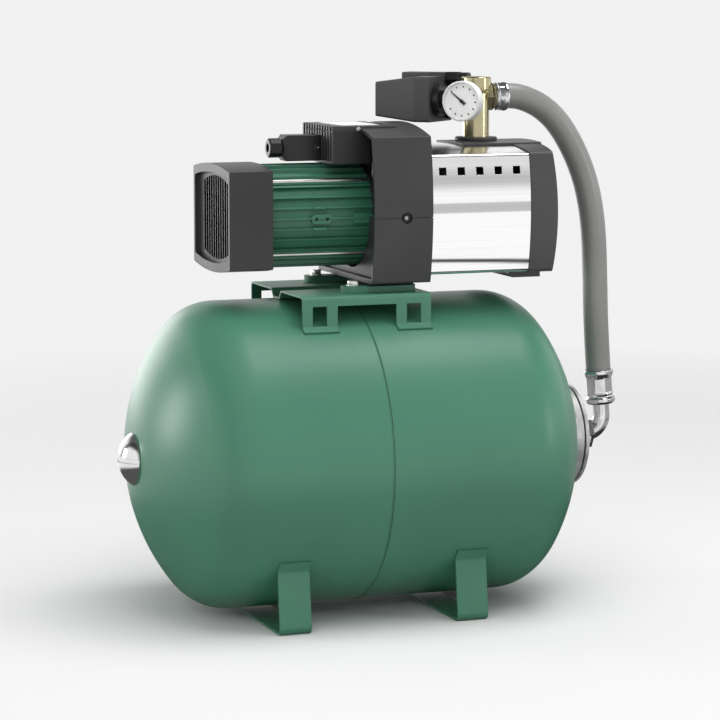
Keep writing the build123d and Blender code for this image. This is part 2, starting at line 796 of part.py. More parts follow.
spigot_x = (box_x[0] - play, box_x[0] + spigot_len)
plug_x = (box_x[0] - play - plug_len, box_x[0] - play)
plug = block(plug_x, (-plug_half, plug_half), plug_z)
plug = chamfer(plug.faces().sort_by(Axis.X)[0].edges(), plug_chamfer)
plug = fillet(plug.edges().filter_by(Axis.X), 2)
plug += block(spigot_x, (-spigot_half, spigot_half), (plug_mid - spigot_high / 2, plug_mid + spigot_high / 2))
neck_x = (plug_x[0] - neck_len, plug_x[0])
plug += rod(gland_neck, neck_x[0] + gland_lip, neck_x[1] + 1, z=plug_mid)
plug -= rod(gland_bore, neck_x[0], neck_x[1] + 12, z=plug_mid)
save("connector_plug", plug)

nut = along_x(RegularPolygon(gland_r, 12), neck_x[0], neck_x[1] - 1)
nut = chamfer(nut.faces().sort_by(Axis.X)[0].edges(), 1.5)
nut = Pos(0, 0, plug_mid) * nut
nut -= rod(gland_neck + thread_play, neck_x[0] + gland_lip, neck_x[1], z=plug_mid)
nut -= rod(gland_bore, neck_x[0] - 1, neck_x[1], z=plug_mid)
save("gland_nut", nut)

# Pump casing with its ports, seal, stages and impellers
casing = turned([(casing_x[0], seal_r), (casing_x[0], casing_r), (casing_x[1], casing_r),
                 (casing_x[1], port_boss_r), (casing_x[1] + port_out, port_boss_r),
                 (casing_x[1] + port_out, port_r), (casing_x[1] - casing_head, port_r),
                 (casing_x[1] - casing_head, casing_r - casing_wall),
                 (casing_x[0] + casing_head, casing_r - casing_wall),
                 (casing_x[0] + casing_head, seal_r)])
inside = rod(casing_r - casing_wall, casing_x[0] + casing_head, casing_x[1] - casing_head)
casing += post(boss_r, pump_z + casing_r - 10, boss_top, tee_x) - inside
casing -= post(tee_r + thread_play, tee_low, boss_top + 1, tee_x)
casing -= post(tee_bore, pump_z + casing_r - 12, tee_low + 1, tee_x)
save("pump_casing", casing)

seal = ring(seal_r, shaft_r + shaft_play, casing_x[0] - 2, casing_x[0] + casing_head)
seal += ring(seal_r + 3, shaft_r + shaft_play, casing_x[0] - 6, casing_x[0] - 2)
save("shaft_seal", seal)

bowls = []
impellers = []
for i in range(stage_count):
    start = stage_first + i * stage_pitch
    wall = ring(casing_r - casing_wall, casing_r - casing_wall - bowl_wall, start, start + stage_pitch)
    floor = ring(casing_r - casing_wall, impeller_eye - 4, start, start + bowl_wall)
    bowls.append(wall + floor)
    near = start + bowl_wall + 3
    wheel = ring(impeller_r, impeller_eye - 6, near, near + 1.5)
    wheel += ring(impeller_r, shaft_r, near + impeller_len - 1.5, near + impeller_len)
    wheel += ring(shaft_r + 5, shaft_r, near, near + impeller_len + 6)
    for j in range(vane_count):
        vane = Pos(near + impeller_len / 2, impeller_r * 0.22, (impeller_r + shaft_r) / 2 + 1)
        vane = vane * Rot(24, 0, 0) * Box(impeller_len - 1, vane_thick, impeller_r - shaft_r - 12)
        wheel += Pos(0, 0, pump_z) * Rot(360 / vane_count * j, 0, 0) * vane
    impellers.append(wheel)
save("stage_bowls", *bowls)
save("impellers", *impellers)

# Stainless shroud with its square holes
wrap = along_x(bowed(side_half, shroud_bow, shroud_low, shroud_edge, shroud_crown), *shroud_x)
wrap = fillet(wrap.edges().filter_by(Axis.X), 5)
space = along_x(bowed(side_half, shroud_bow, shroud_low, shroud_edge, shroud_crown, shroud_wall), *shroud_x)
space = fillet(space.edges().filter_by(Axis.X), 4)
wrap -= space
for i in range(hole_count):
    x = hole_first + i * hole_pitch
    wrap -= block((x - hole_size / 2, x + hole_size / 2), (-150, 150),
                  (hole_z - hole_size / 2, hole_z + hole_size / 2))
wrap -= post(boss_r + gap, shroud_crown - 20, shroud_crown + 10, tee_x)
save("pump_shroud", wrap)

# End cap: domed end, a tongue along the top and a foot block
cap_grow = 1.2


def cap_section(inset):
    return bowed(side_half, shroud_bow, shroud_low, shroud_edge, shroud_crown, inset)


dome_centre = end_x + end_len - end_dome
end_solid = along_x(cap_section(-cap_grow), end_x, end_x + end_len)
end_solid = fillet(end_solid.edges().filter_by(Axis.X), 6)
end_solid &= Pos(dome_centre, 0, pump_z) * Sphere(end_dome)
end_hollow = along_x(cap_section(end_wall), end_x - 1, end_x + end_len)
end_hollow &= Pos(dome_centre - end_wall, 0, pump_z) * Sphere(end_dome)
end_cap = end_solid - end_hollow
sleeve_x = (end_x - 7, end_x + 2)
sleeve = along_x(cap_section(shroud_wall + gap), *sleeve_x)
sleeve = fillet(sleeve.edges().filter_by(Axis.X), 5)
end_cap += sleeve - along_x(cap_section(shroud_wall + gap + 2), *sleeve_x)
tongue_x_range = (tongue_x, end_x + end_len - 8)
strip = along_x(cap_section(-cap_grow - tongue_rise), *tongue_x_range)
strip -= along_x(cap_section(-0.2), tongue_x, end_x)
strip &= block(tongue_x_range, (-tongue_half, tongue_half), (pump_z + 40, shroud_crown + 20))
strip -= end_hollow
end_cap += strip
block_solid = block(foot_block, (-foot_block_half, foot_block_half), (foot_block_low, shroud_low - 0.2))
end_cap += chamfer(block_solid.edges().filter_by(Axis.Y).sort_by(Axis.Z)[:2].sort_by(Axis.X)[0], 5)
end_cap -= rod(port_boss_r + 0.6, end_x, casing_x[1] + port_out + 20)
end_cap -= post(boss_r + gap, shroud_crown - 20, shroud_crown + 20, tee_x)
save("pump_end_cap", end_cap)

# Collar round the discharge and the brass fitting above it
strip_top = shroud_crown + cap_grow + tongue_rise
collar = lathe([(tee_r + gap, strip_top), (collar_r, strip_top), (collar_r, collar_top - 1),
                (collar_r - 1, collar_top), (tee_r + gap, collar_top)], tee_x)
save("discharge_collar", collar)


def aimed(direction, across):
    return Plane(origin=(tee_x, 0, side_port_z), x_dir=across, z_dir=direction)


to_gauge = aimed((-1, -1, 0), (1, -1, 0))
to_switch = aimed((-1, 1, 0), (-1, -1, 0))


def outward(plane, radius, start, end):
    return extrude(plane.offset(start) * Circle(radius), end - start)


tee = lathe([(0, tee_low), (tee_r, tee_low), (tee_r, bead_z - 2), (head_r - 0.7, bead_z),
             (tee_r, bead_z + 2), (head_r, bead_z + 3), (head_r, tee_top - 1), (head_r - 1, tee_top),
             (0, tee_top)], tee_x)
branch_end = tee_x + branch_len
tee += rod(branch_r, tee_x, branch_end, z=branch_z)
for plane in (to_gauge, to_switch):
    tee += outward(plane, side_port_r, 0, side_port_len)
tee -= post(tee_bore, tee_low - 1, tee_top - female_depth + 1, tee_x)
tee -= post(port_r, tee_top - female_depth, tee_top + 1, tee_x)
tee -= rod(branch_bore, tee_x, branch_end + 1, z=branch_z)
for plane in (to_gauge, to_switch):
    tee -= outward(plane, side_thread + thread_play, 0, side_port_len + 1)
save("five_way", tee)

# Gauge
gauge_stem = outward(to_gauge, side_thread, side_port_len - 7, gauge_back)
gauge_stem += extrude(to_gauge.offset(side_port_len + 3) * hexagon(14), 8)
save("gauge_stem", gauge_stem)
dial_at = gauge_front - dial_in
case = outward(to_gauge, gauge_r, gauge_back, gauge_front)
case = fillet(case.edges().filter_by(GeomType.CIRCLE), 1)
case -= outward(to_gauge, gauge_r - gauge_rim, dial_at - dial_thick, gauge_front + 1)
arbor_r = 0.9
arbor_play = 0.05
case -= outward(to_gauge, arbor_r + arbor_play, gauge_back + 4, gauge_front)
save("gauge_case", case)
dial = outward(to_gauge, gauge_r - gauge_rim, dial_at - dial_thick, dial_at)
save("gauge_dial", dial - outward(to_gauge, arbor_r + arbor_play, dial_at - 2, dial_at + 2))
needle_at = dial_at + 0.5
blade_face = make_face(Polyline((-1.6, -needle_tail), (-0.9, 0), (0, needle_len), (0.9, 0), (1.6, -needle_tail),
                                close=True))
needle = extrude(to_gauge.offset(needle_at) * Rot(0, 0, needle_zero) * blade_face, needle_thick)
needle += outward(to_gauge, 2.2, needle_at, needle_at + needle_thick + 0.4)
needle += outward(to_gauge, arbor_r, gauge_back + 5, needle_at)
save("gauge_needle", needle)
glass_at = gauge_front - glass_in
save("gauge_window", outward(to_gauge, gauge_r - gauge_rim, glass_at - glass_thick, glass_at))


# Pressure switch: in its own plane, x to the front, y up and z away from the fitting
def switch_box(u, x, y):
    centre = ((x[0] + x[1]) / 2, (y[0] + y[1]) / 2)
    return extrude(to_switch.offset(u[0]) * Pos(*centre) * Rectangle(x[1] - x[0], y[1] - y[0]), u[1] - u[0])


base_u = (switch_back, switch_back + switch_base)
base_x = (-switch_right, switch_left)
base_y = (-switch_half, switch_half)
base_mid = (switch_left - switch_right) / 2
base_size = (switch_right + switch_left, 2 * switch_half)
base = extrude(to_switch.offset(switch_back) * Pos(base_mid, 0) * RectangleRounded(*base_size, 3), switch_base)
base += switch_box(base_u, ridge_x, (switch_half - 4, ridge_top))
floor_u = switch_back + switch_wall
base -= switch_box((floor_u, base_u[1] + 1), (ridge_x[0] + switch_wall, ridge_x[1] - switch_wall),
                   (0, ridge_top - switch_wall))
base -= switch_box((floor_u, base_u[1] + 1), (base_x[0] + switch_wall, base_x[1] - switch_wall),
                   (base_y[0] + switch_wall, base_y[1] - switch_wall))
base -= outward(to_switch, plunger_r + thread_play, switch_back - 1, floor_u + 1)
gland_spots = [(switch_gland_x, y) for y in switch_gland_y]
switch_bore = 4.0


def at_spot(u, spot):
    return to_switch.offset(u) * Pos(*spot)


for spot in gland_spots:
    base -= extrude(at_spot(switch_back - 1, spot) * Circle(switch_bore), switch_wall + 2)
hinge_u = switch_back - plunger_in + plunger_len + hinge_out
ear = 3.0
for y in (-lever_half - play - ear, lever_half + play):
    lug = switch_box((floor_u - 0.5, hinge_u + 2.5), (lever_x - 3, lever_x + 3), (y, y + ear))
    base += lug
pin_plane = to_switch.offset(hinge_u)
pin_line = Pos(lever_x, 0, 0) * Rot(90, 0, 0)
pin_length = 2 * (lever_half + play + ear)
base += pin_plane * pin_line * Cylinder(lever_pin_r, pin_length)
save("switch_base", base)

membrane_back = switch_back - membrane_len
housing_hub = outward(to_switch, membrane_r, membrane_back, switch_back)
housing_hub = fillet(housing_hub.edges().filter_by(GeomType.CIRCLE), 1)
housing_hub += extrude(to_switch.offset(side_port_len + 3) * hexagon(union_af), membrane_back - side_port_len - 3)
housing_hub += outward(to_switch, side_thread, side_port_len - 7, side_port_len + 3)
housing_hub -= outward(to_switch, membrane_r - 4, membrane_back + 2, switch_back - 2)
housing_hub -= outward(to_switch, plunger_r + thread_play, switch_back - 3, switch_back + 1)
save("switch_diaphragm_housing", housing_hub)

plunger_u = (switch_back - plunger_in, switch_back - plunger_in + plunger_len)
plunger = outward(to_switch, plunger_r, *plunger_u)
plunger += outward(to_switch, membrane_r - 6, plunger_u[0] - 1.5, plunger_u[0])
save("switch_plunger", plunger)

lever_u = (plunger_u[1] + gap, plunger_u[1] + gap + lever_thick)
lever = switch_box(lever_u, (lever_x, lever_x + lever_len), (-lever_half, lever_half))
lever += pin_plane * pin_line * Cylinder(lever_pin_r + 1.6, 2 * lever_half)
lever -= pin_plane * pin_line * Cylinder(lever_pin_r + 0.05, 2 * lever_half + 1)
save("switch_lever", lever)


def cover_slice(u, inset, ends):
    width = switch_right + switch_left - 2 * inset
    mid = (switch_left - switch_right) / 2
    return to_switch.offset(u) * Pos(mid, 0) * RectangleRounded(width, 2 * (ends - inset), 3)


cover_u = (base_u[1], base_u[1] + switch_cover)
lidded = loft([cover_slice(cover_u[0], 0, switch_half), cover_slice(cover_u[1], 0, switch_end_half)])
cavity = loft([cover_slice(cover_u[0], switch_wall, switch_half),
               cover_slice(cover_u[1] - switch_wall, switch_wall, switch_end_half)])
ridge = switch_box((base_u[1], ridge_end), ridge_x, (switch_end_half - 2, ridge_top))
ridge = fillet(ridge.edges().filter_by(lambda edge: abs((edge % 0).Z) < 0.1).sort_by(Axis.Z)[-4:], 2)
save("switch_cover", lidded + ridge - cavity)

glands = []
for spot in gland_spots:
    body_len = 0.55 * switch_gland_len
    first = extrude(at_spot(switch_back - body_len, spot) * hexagon(switch_gland_af), body_len)
    far = switch_back - switch_gland_len
    second = extrude(at_spot(far, spot) * Circle(switch_gland_af / 2 - 0.5), switch_gland_len - body_len)
    hole = extrude(at_spot(far - 1, spot) * Circle(switch_bore), switch_gland_len + 2)
    glands.append(first + second - hole)
save("switch_glands", *glands)

# Hose nut and upper ferrule
nut_x = (tee_x + head_r + gap, tee_x + head_r + gap + nut_len)
tail_x = branch_end + gap
swivel = along_x(RegularPolygon(nut_r, 8), *nut_x)
swivel = Pos(0, 0, branch_z) * chamfer(swivel.faces().sort_by(Axis.X)[-1].edges(), 1)
swivel -= rod(branch_r + thread_play, nut_x[0] - 1, branch_end, z=branch_z)
swivel -= rod(branch_r - 1, branch_end - 1, nut_x[1] + 1, z=branch_z)
save("hose_nut", swivel)

ferrule_x = (nut_x[1], nut_x[1] + ferrule_len)
hose_start = ferrule_x[1] - hose_in
upper_ferrule = turned([(tail_x, elbow_r - 2), (tail_x, branch_r - 1.1), (nut_x[1], branch_r - 1.1),
                        (nut_x[1], ferrule_r - 2), (nut_x[1] + 2, ferrule_r), (ferrule_x[1] - 5, ferrule_r),
                        (ferrule_x[1] - 3, ferrule_flare), (ferrule_x[1], ferrule_flare),
                        (ferrule_x[1], hose_r + mouth_play), (hose_start, hose_r + thread_play),
                        (hose_start, elbow_r - 2)], branch_z)
save("hose_ferrule_upper", upper_ferrule)

# Elbow, its nut and the lower ferrule, which follows the elbow's lean
leaning = Plane(origin=(elbow_top_x, 0, elbow_top_z), x_dir=(math.cos(lean), 0, math.sin(lean)),
                z_dir=(-math.sin(lean), 0, math.cos(lean)))
bend_end = (elbow_x + elbow_bend * math.cos(lean), 0, axis_z + elbow_bend * (1 + math.sin(lean)))
bend_mid_angle = math.radians(elbow_turn / 2)
bend_mid = (elbow_x + elbow_bend * math.sin(bend_mid_angle), 0,
            axis_z + elbow_bend * (1 - math.cos(bend_mid_angle)))
elbow_from = hub_end - 10
elbow_in = 6.0
elbow_path = Line((elbow_from, 0, axis_z), (elbow_x, 0, axis_z))
elbow_path += ThreePointArc((elbow_x, 0, axis_z), bend_mid, bend_end)
elbow_path += Line(bend_end, (leaning * Pos(0, 0, elbow_in)).position)
tube_face = Plane.YZ.offset(elbow_from) * Pos(0, axis_z) * (Circle(elbow_r) - Circle(elbow_r - elbow_wall))
save("elbow", sweep(tube_face, path=elbow_path))

nut_start = hub_end
elbow_nut = Pos(0, 0, axis_z) * along_x(hexagon(elbow_nut_af), nut_start, nut_start + elbow_nut_len)
elbow_nut -= rod(elbow_r + 0.8, nut_start - 1, nut_start + elbow_nut_len + 1, z=axis_z)
save("elbow_nut", elbow_nut)

lower_end = lower_ferrule_len
lower_profile = [(elbow_r + thread_play, 0), (lower_ferrule_r - 1, 0), (lower_ferrule_r + 1, 3),
                 (lower_ferrule_r + 1, 7), (lower_ferrule_r - 2, 10), (lower_ferrule_r - 1, 13),
                 (lower_ferrule_r - 1, lower_end - 9),
                 (lower_ferrule_r + 1, lower_end - 4), (lower_ferrule_r + 1, lower_end),
                 (hose_r + mouth_play, lower_end), (hose_r + thread_play, lower_end - hose_in),
                 (elbow_r - 2, lower_end - hose_in), (elbow_r - 2, elbow_in + 0.2),
                 (elbow_r + thread_play, elbow_in + 0.2)]
lower_ferrule = revolve(Plane.XZ * make_face(Polyline(*lower_profile, close=True)), Axis.Z)
save("hose_ferrule_lower", leaning * lower_ferrule)

# Hose: straight runs joined by arcs as large as the runs allow
hose_end = (leaning * Pos(0, 0, lower_ferrule_len - hose_in + 0.05)).position
below_branch = [(229, -1.5), (249, 3.5), (270, 13.5), (291, 31.5), (310, 59), (326, 91.5), (337.5, 128)]
above_axis = [(344.5, 261), (347, 202), (348.8, 137)]
hose_points = [(hose_start + 0.05, branch_z)]
hose_points += [(x, branch_z - drop) for x, drop in below_branch]
hose_points += [(x, axis_z + rise) for x, rise in above_axis]
hose_points.append((hose_end.X, hose_end.Z))


def corner_radii(points):
    radii = []
    for before, at, after in zip(points, points[1:], points[2:]):
        first = Vector(at[0] - before[0], 0, at[1] - before[1])
        second = Vector(after[0] - at[0], 0, after[1] - at[1])
        half_turn = math.radians(first.get_angle(second)) / 2
        radii.append(0.45 * min(first.length, second.length) / math.tan(half_turn))
    return radii


hose_radii = corner_radii(hose_points)
print("hose corner radii", [round(radius) for radius in hose_radii])
hose_path = FilletPolyline(*[(x, 0, z) for x, z in hose_points], radius=hose_radii)
hose = sweep(Plane(origin=hose_path @ 0, z_dir=hose_path % 0) * Circle(hose_r), path=hose_path)
print("hose length", round(hose_path.length), "volume ratio", round(hose.volume / hose_path.length
                                                                    / (math.pi * hose_r ** 2), 4))
save("hose", hose)
print("moved along X by", round(to_origin.position.X, 3))
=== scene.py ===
import json
import math

import bmesh
import bpy
from mathutils import Matrix, Vector


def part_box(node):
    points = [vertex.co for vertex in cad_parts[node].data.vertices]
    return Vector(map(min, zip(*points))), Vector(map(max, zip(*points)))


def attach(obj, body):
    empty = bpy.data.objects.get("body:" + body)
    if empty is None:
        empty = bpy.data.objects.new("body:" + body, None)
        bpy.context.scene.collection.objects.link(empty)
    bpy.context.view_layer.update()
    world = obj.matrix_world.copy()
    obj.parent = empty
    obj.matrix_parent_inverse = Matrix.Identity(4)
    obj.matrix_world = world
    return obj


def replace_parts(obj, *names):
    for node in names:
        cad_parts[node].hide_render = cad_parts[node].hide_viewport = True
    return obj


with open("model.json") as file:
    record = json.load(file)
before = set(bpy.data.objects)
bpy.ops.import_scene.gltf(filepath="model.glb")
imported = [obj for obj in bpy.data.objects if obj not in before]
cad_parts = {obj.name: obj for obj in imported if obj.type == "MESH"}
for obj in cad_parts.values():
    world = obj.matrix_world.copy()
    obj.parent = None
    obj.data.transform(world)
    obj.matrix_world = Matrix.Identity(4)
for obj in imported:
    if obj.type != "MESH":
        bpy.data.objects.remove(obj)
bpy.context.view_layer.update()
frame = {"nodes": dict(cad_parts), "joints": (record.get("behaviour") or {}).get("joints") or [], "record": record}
nodes = frame["nodes"]
joints = {joint["name"]: joint for joint in frame["joints"]}
print("frame loaded:", len(nodes), "nodes")


def span(node, axis):
    # lowest and highest place of a node along x, y or z, in metres to the micrometre
    return [round(corner["xyz".index(axis)], 6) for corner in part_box(node)]


def middle(node, axis):
    return round(sum(span(node, axis)) / 2, 6)


seam = span("tank_right_shell", "x")[0]  # weld seam of the vessel, from which lengths along the set are given
vesselLevel = middle("tank_right_shell", "z")
motorLevel = joints["rotor_spin"]["pos_m"][2]
branchLevel = middle("hose_nut", "z")


def seamX(mm):
    return seam + mm / 1000


# camera of the photograph: angles in degrees, distance, target and reach in metres, lens in millimetres
view = {"azimuth": -20.14, "elevation": 7.55, "distance": 3.5726, "target": (-0.0149, 0.0, 0.3066),
        "lens": 142.7, "sensor": 36, "reach": 50}


def makeCamera():
    lens = bpy.data.cameras.new("photoCamera")
    lens.lens, lens.sensor_width, lens.sensor_fit = view["lens"], view["sensor"], "AUTO"
    lens.clip_end = view["reach"]
    camera = bpy.data.objects.new("photoCamera", lens)
    bpy.context.scene.collection.objects.link(camera)
    a, e = math.radians(view["azimuth"]), math.radians(view["elevation"])
    back = Vector((math.sin(a) * math.cos(e), -math.cos(a) * math.cos(e), math.sin(e)))
    camera.location = Vector(view["target"]) + back * view["distance"]
    camera.rotation_euler = back.to_track_quat("Z", "Y").to_euler()
    bpy.context.scene.camera = camera


makeCamera()
print("camera placed")


# node graphs, for materials, the world and geometry
class Wire:
    def __init__(self, graph, socket):
        self.graph, self.socket = graph, socket

    def maths(self, operation, *others):
        return self.graph.maths(operation, self, *others)

    def __add__(self, other):
        return self.maths("ADD", other)

    def __sub__(self, other):
        return self.maths("SUBTRACT", other)

    def __mul__(self, other):
        return self.maths("MULTIPLY", other)

    def __truediv__(self, other):
        return self.maths("DIVIDE", other)

    def __pow__(self, other):
        return self.maths("POWER", other)

    __radd__ = __add__
    __rmul__ = __mul__


class Graph:
    def __init__(self, tree):
        self.tree = tree

    def add(self, kind, settings=None, values=None, out=0):
        # new node: its settings, where stops are a ramp's places and tones, and its inputs
        node = self.tree.nodes.new(kind)
        for key, value in (settings or {}).items():
            if key == "stops":
                ramp = node.color_ramp.elements
                while len(ramp) < len(value):
                    ramp.new(0.5)
                for stop, (place, tone) in zip(ramp, value):
                    stop.position, stop.color = place, (tone, tone, tone, 1)
            else:
                setattr(node, key, value)
        for key, value in (values or {}).items():
            if isinstance(value, Wire):
                self.tree.links.new(value.socket, node.inputs[key])
            else:
                node.inputs[key].default_value = value
        return Wire(self, node.outputs[out]) if len(node.outputs) else node

    def beside(self, wire, *outs):
        # wires from other outputs of the node that the wire comes from
        return [Wire(self, wire.socket.node.outputs[out]) for out in outs]

    def maths(self, operation, *values):
        return self.add("ShaderNodeMath", {"operation": operation}, dict(enumerate(values)))

    def ramp(self, value, *stops):
        return self.add("ShaderNodeValToRGB", {"stops": stops}, {"Fac": value})

    def mixed(self, share, first, second):
        return self.add("ShaderNodeMix", {"data_type": "RGBA"}, {0: share, 6: first, 7: second}, 2)

    def shaders(self, share, first, second):
        return self.add("ShaderNodeMixShader", {}, {0: share, 1: first, 2: second})

    def axes(self, vector):
        return self.beside(self.add("ShaderNodeSeparateXYZ", {}, {0: vector}), 0, 1, 2)

    def rays(self, *kinds):
        return self.beside(self.add("ShaderNodeLightPath"), *kinds)


def linear(red, green, blue):
    # a screen colour of 0 to 255 as the linear light that a socket takes
    tones = [value / 255 for value in (red, green, blue)]
    return [t / 12.92 if t <= 0.04045 else ((t + 0.055) / 1.055) ** 2.4 for t in tones] + [1]


class Finish(Graph):
    def __init__(self, name):
        self.material = bpy.data.materials.new(name)
        self.material.use_nodes = True
        super().__init__(self.material.node_tree)
        self.tree.nodes.clear()
        self.place = self.add("ShaderNodeTexCoord", out="Object")

    def noise(self, scale, detail=2.0, rough=0.5, place=None):
        return self.add("ShaderNodeTexNoise", {"noise_dimensions": "3D"},
                        {"Vector": place or self.place, "Scale": scale, "Detail": detail, "Roughness": rough})

    def stretched(self, x, y, z):
        return self.add("ShaderNodeMapping", {}, {"Vector": self.place, "Scale": (x, y, z)})

    def blended(self, share, low, high, tone, deep):
        # the first tone below low, the deep one above high
        return self.mixed(self.ramp(share, (low, 0.0), (high, 1.0)), linear(*tone), linear(*deep))

    def edges(self, radius):
        return self.add("ShaderNodeBevel", {"samples": 6}, {"Radius": radius})

    def done(self, colour, rough, metal=0.0, height=None, strength=0.2, depth=0.0002, edge=0.0006,
             shade=None, **fixed):
        # surface with softened edges and a bump; where shade is 1 it turns into black matt, painted shade
        normal = self.edges(edge) if edge else None
        values = {"Base Color": colour, "Roughness": rough, "Metallic": metal}
        if height is not None:
            bump = {"Height": height, "Strength": strength, "Distance": depth}
            if normal:
                bump["Normal"] = normal
            normal = self.add("ShaderNodeBump", {}, bump)
        if normal:
            values["Normal"] = normal
        values.update({key.replace("_", " "): value for key, value in fixed.items()})
        surface = self.add("ShaderNodeBsdfPrincipled", {}, values)
        # painted shade: a black matt surface is mixed in where shade is 1
        if shade:
            dark = self.add("ShaderNodeBsdfDiffuse", {}, {"Color": linear(4, 4, 4)})
            surface = self.shaders(shade, surface, dark)
        self.add("ShaderNodeOutputMaterial", {}, {"Surface": surface})
        return self.material


def paint(name, tone, deep, rough, grain, strength, edge=0.0008):
    # sprayed paint: an orange-peel grain with slow changes of gloss and tone
    f = Finish(name)
    slow = f.noise(6.0, 3.0)
    fine = f.noise(grain, 2.0, 0.6)
    gloss = rough + (slow - 0.5) * 0.10 + (fine - 0.5) * 0.05
    return f.done(f.blended(slow, 0.3, 0.75, tone, deep), gloss, height=fine + slow * 0.2, strength=strength,
                  depth=0.0003, edge=edge)


# slots in the end of the fan cover: x of their face, height of the middle, half width and height, all in
# metres, and the depths in millimetres at which their painted shade starts and is full
grilleForm = {"face": span("fan_cover", "x")[0] + 0.006525, "level": motorLevel, "half": 0.0505,
              "lit": 0.05, "dark": 0.30}


def slotPaintedShade(f, form):
    # painted shade: inside the slots the walls turn black with depth behind the face
    x, y, z = f.axes(f.place)
    inside = y.maths("ABSOLUTE").maths("LESS_THAN", form["half"])
    inside = inside * (z - form["level"]).maths("ABSOLUTE").maths("LESS_THAN", form["half"])
    return inside * f.ramp((x - form["face"]) * 1000.0, (form["lit"], 0.0), (form["dark"], 1.0))


def mouldedPlastic(name, tone, deep, rough, edge=0.0010, slots=None):
    # spark-eroded mould texture with faint flow marks; behind their face the slots get painted shade
    f = Finish(name)
    grain = f.noise(2600.0, 2.0, 0.7)
    flow = f.noise(11.0, 4.0, 0.55)
    gloss = rough + (flow - 0.5) * 0.12 + (grain - 0.5) * 0.08
    return f.done(f.blended(flow, 0.35, 0.7, tone, deep), gloss, height=grain, strength=0.25, depth=0.00012,
                  edge=edge, shade=slotPaintedShade(f, slots) if slots else None)


def brushedMetal(name, tone, rough, direction, streak=0.25, edge=0.0004):
    # fine lines along one direction, with faint hand marks
    f = Finish(name)
    lines = f.noise(1.0, 2.0, 0.6, f.stretched(*direction))
    marks = f.noise(18.0, 5.0, 0.6)
    gloss = rough + (lines - 0.5) * streak + (marks - 0.5) * 0.08
    colour = f.blended(lines, 0.35, 0.65, tone, [value - 10 for value in tone])
    return f.done(colour, gloss, metal=1.0, height=lines, strength=0.04, depth=0.0001, edge=edge)


def plated(name, tone, deep, rough, edge=0.0005):
    # bright plating: small uneven spots in tone and gloss
    f = Finish(name)
    cloud = f.noise(60.0, 4.0, 0.6)
    fine = f.noise(900.0, 2.0)
    colour = f.blended(cloud, 0.3, 0.75, tone, deep)
    gloss = rough + (cloud - 0.5) * 0.10
    return f.done(colour, gloss, metal=1.0, height=fine, strength=0.03, depth=0.0001, edge=edge)


def polished(name, tone, rough, softFrom, softRough):
    # mirror-bright sheet with fine rolling lines; the crown above softFrom is duller
    f = Finish(name)
    lines = f.noise(1.0, 2.0, 0.6, f.stretched(2.0, 700.0, 700.0))
    dull = f.ramp((f.axes(f.place)[2] - softFrom) * 100.0 + 0.5, (0.1, 0.0), (0.9, 1.0))
    colour = f.blended(lines, 0.35, 0.65, tone, [value - 6 for value in tone])
    gloss = rough + (lines - 0.5) * 0.03 + dull * softRough
    return f.done(colour, gloss, metal=1.0, height=lines, strength=0.03, depth=0.0001, edge=0.0004)


# screws at the cover's parting line: place and radius of the driven middle in metres, half width of the
# cross of painted shade in millimetres, tones of the cup and of the driven middle
coverScrewForm = {"x": middle("cover_screws", "x"), "z": middle("cover_screws", "z"), "core": 0.0022,
                  "cross": (0.35, 0.5), "tone": (30, 30, 31), "bright": (226, 226, 224)}


def recessedScrew(name, form):
    # black screw in a black cup, with a bright driven middle and a cross of painted shade, dark where a cross
    # recess would lie in shade
    f = Finish(name)
    x, _, z = f.axes(f.place)
    across, up = x - form["x"], z - form["z"]
    away = (across * across + up * up) ** 0.5
    slot = across.maths("ABSOLUTE").maths("MINIMUM", up.maths("ABSOLUTE"))
    low, high = form["cross"]
    bright = f.ramp(away / form["core"], (0.9, 1.0), (1.0, 0.0))
    # painted shade: the cross is darkened to stand for the shade in its recess
    bright = bright * f.ramp(slot * 1000.0, (low, 0.1), (high, 1.0))
    colour = f.mixed(bright, linear(*form["tone"]), linear(*form["bright"]))
    return f.done(colour, 0.3 + f.noise(900.0) * 0.06, metal=bright * 0.6, edge=0.0003)


def spangled(name, tone, bright):
    # hot-dip zinc: crystals in slightly different greys
    f = Finish(name)
    crystal = f.add("ShaderNodeTexVoronoi", {"feature": "F1"}, {"Vector": f.place, "Scale": 110.0}, "Color")
    share = f.ramp(crystal, (0.1, 0.0), (0.9, 1.0))
    colour = f.mixed(share, linear(*tone), linear(*bright))
    gloss = 0.34 + share * 0.16
    return f.done(colour, gloss, metal=0.65, height=f.noise(500.0), strength=0.05, depth=0.0001)


def hoseRubber(name, tone, deep):
    # smooth grey cover with faint extrusion marks and dust
    f = Finish(name)
    slow = f.noise(9.0, 4.0)
    fine = f.noise(1400.0, 3.0, 0.6)
    return f.done(f.blended(slow, 0.3, 0.75, tone, deep), 0.34 + (slow - 0.5) * 0.12, height=fine,
                  strength=0.10, depth=0.0002, edge=0, Specular_IOR_Level=0.8)


def clearGlass(name, tone):
    # almost unseen pane with a faint smear
    f = Finish(name)
    smear = f.noise(30.0, 3.0)
    return f.done(linear(*tone), 0.03 + smear * 0.04, edge=0, Alpha=0.03, IOR=1.22)


def plain(name, tone, rough, metal=0.0, edge=0.0004, grain=900.0, spread=12, **fixed):
    # even surface with a fine grain and soft changes of tone
    f = Finish(name)
    fine = f.noise(grain, 3.0)
    colour = f.blended(f.noise(25.0, 3.0), 0.3, 0.7, tone, [value - spread for value in tone])
    gloss = rough + (fine - 0.5) * 0.1
    return f.done(colour, gloss, metal, height=fine, strength=0.06, depth=0.0001, edge=edge, **fixed)


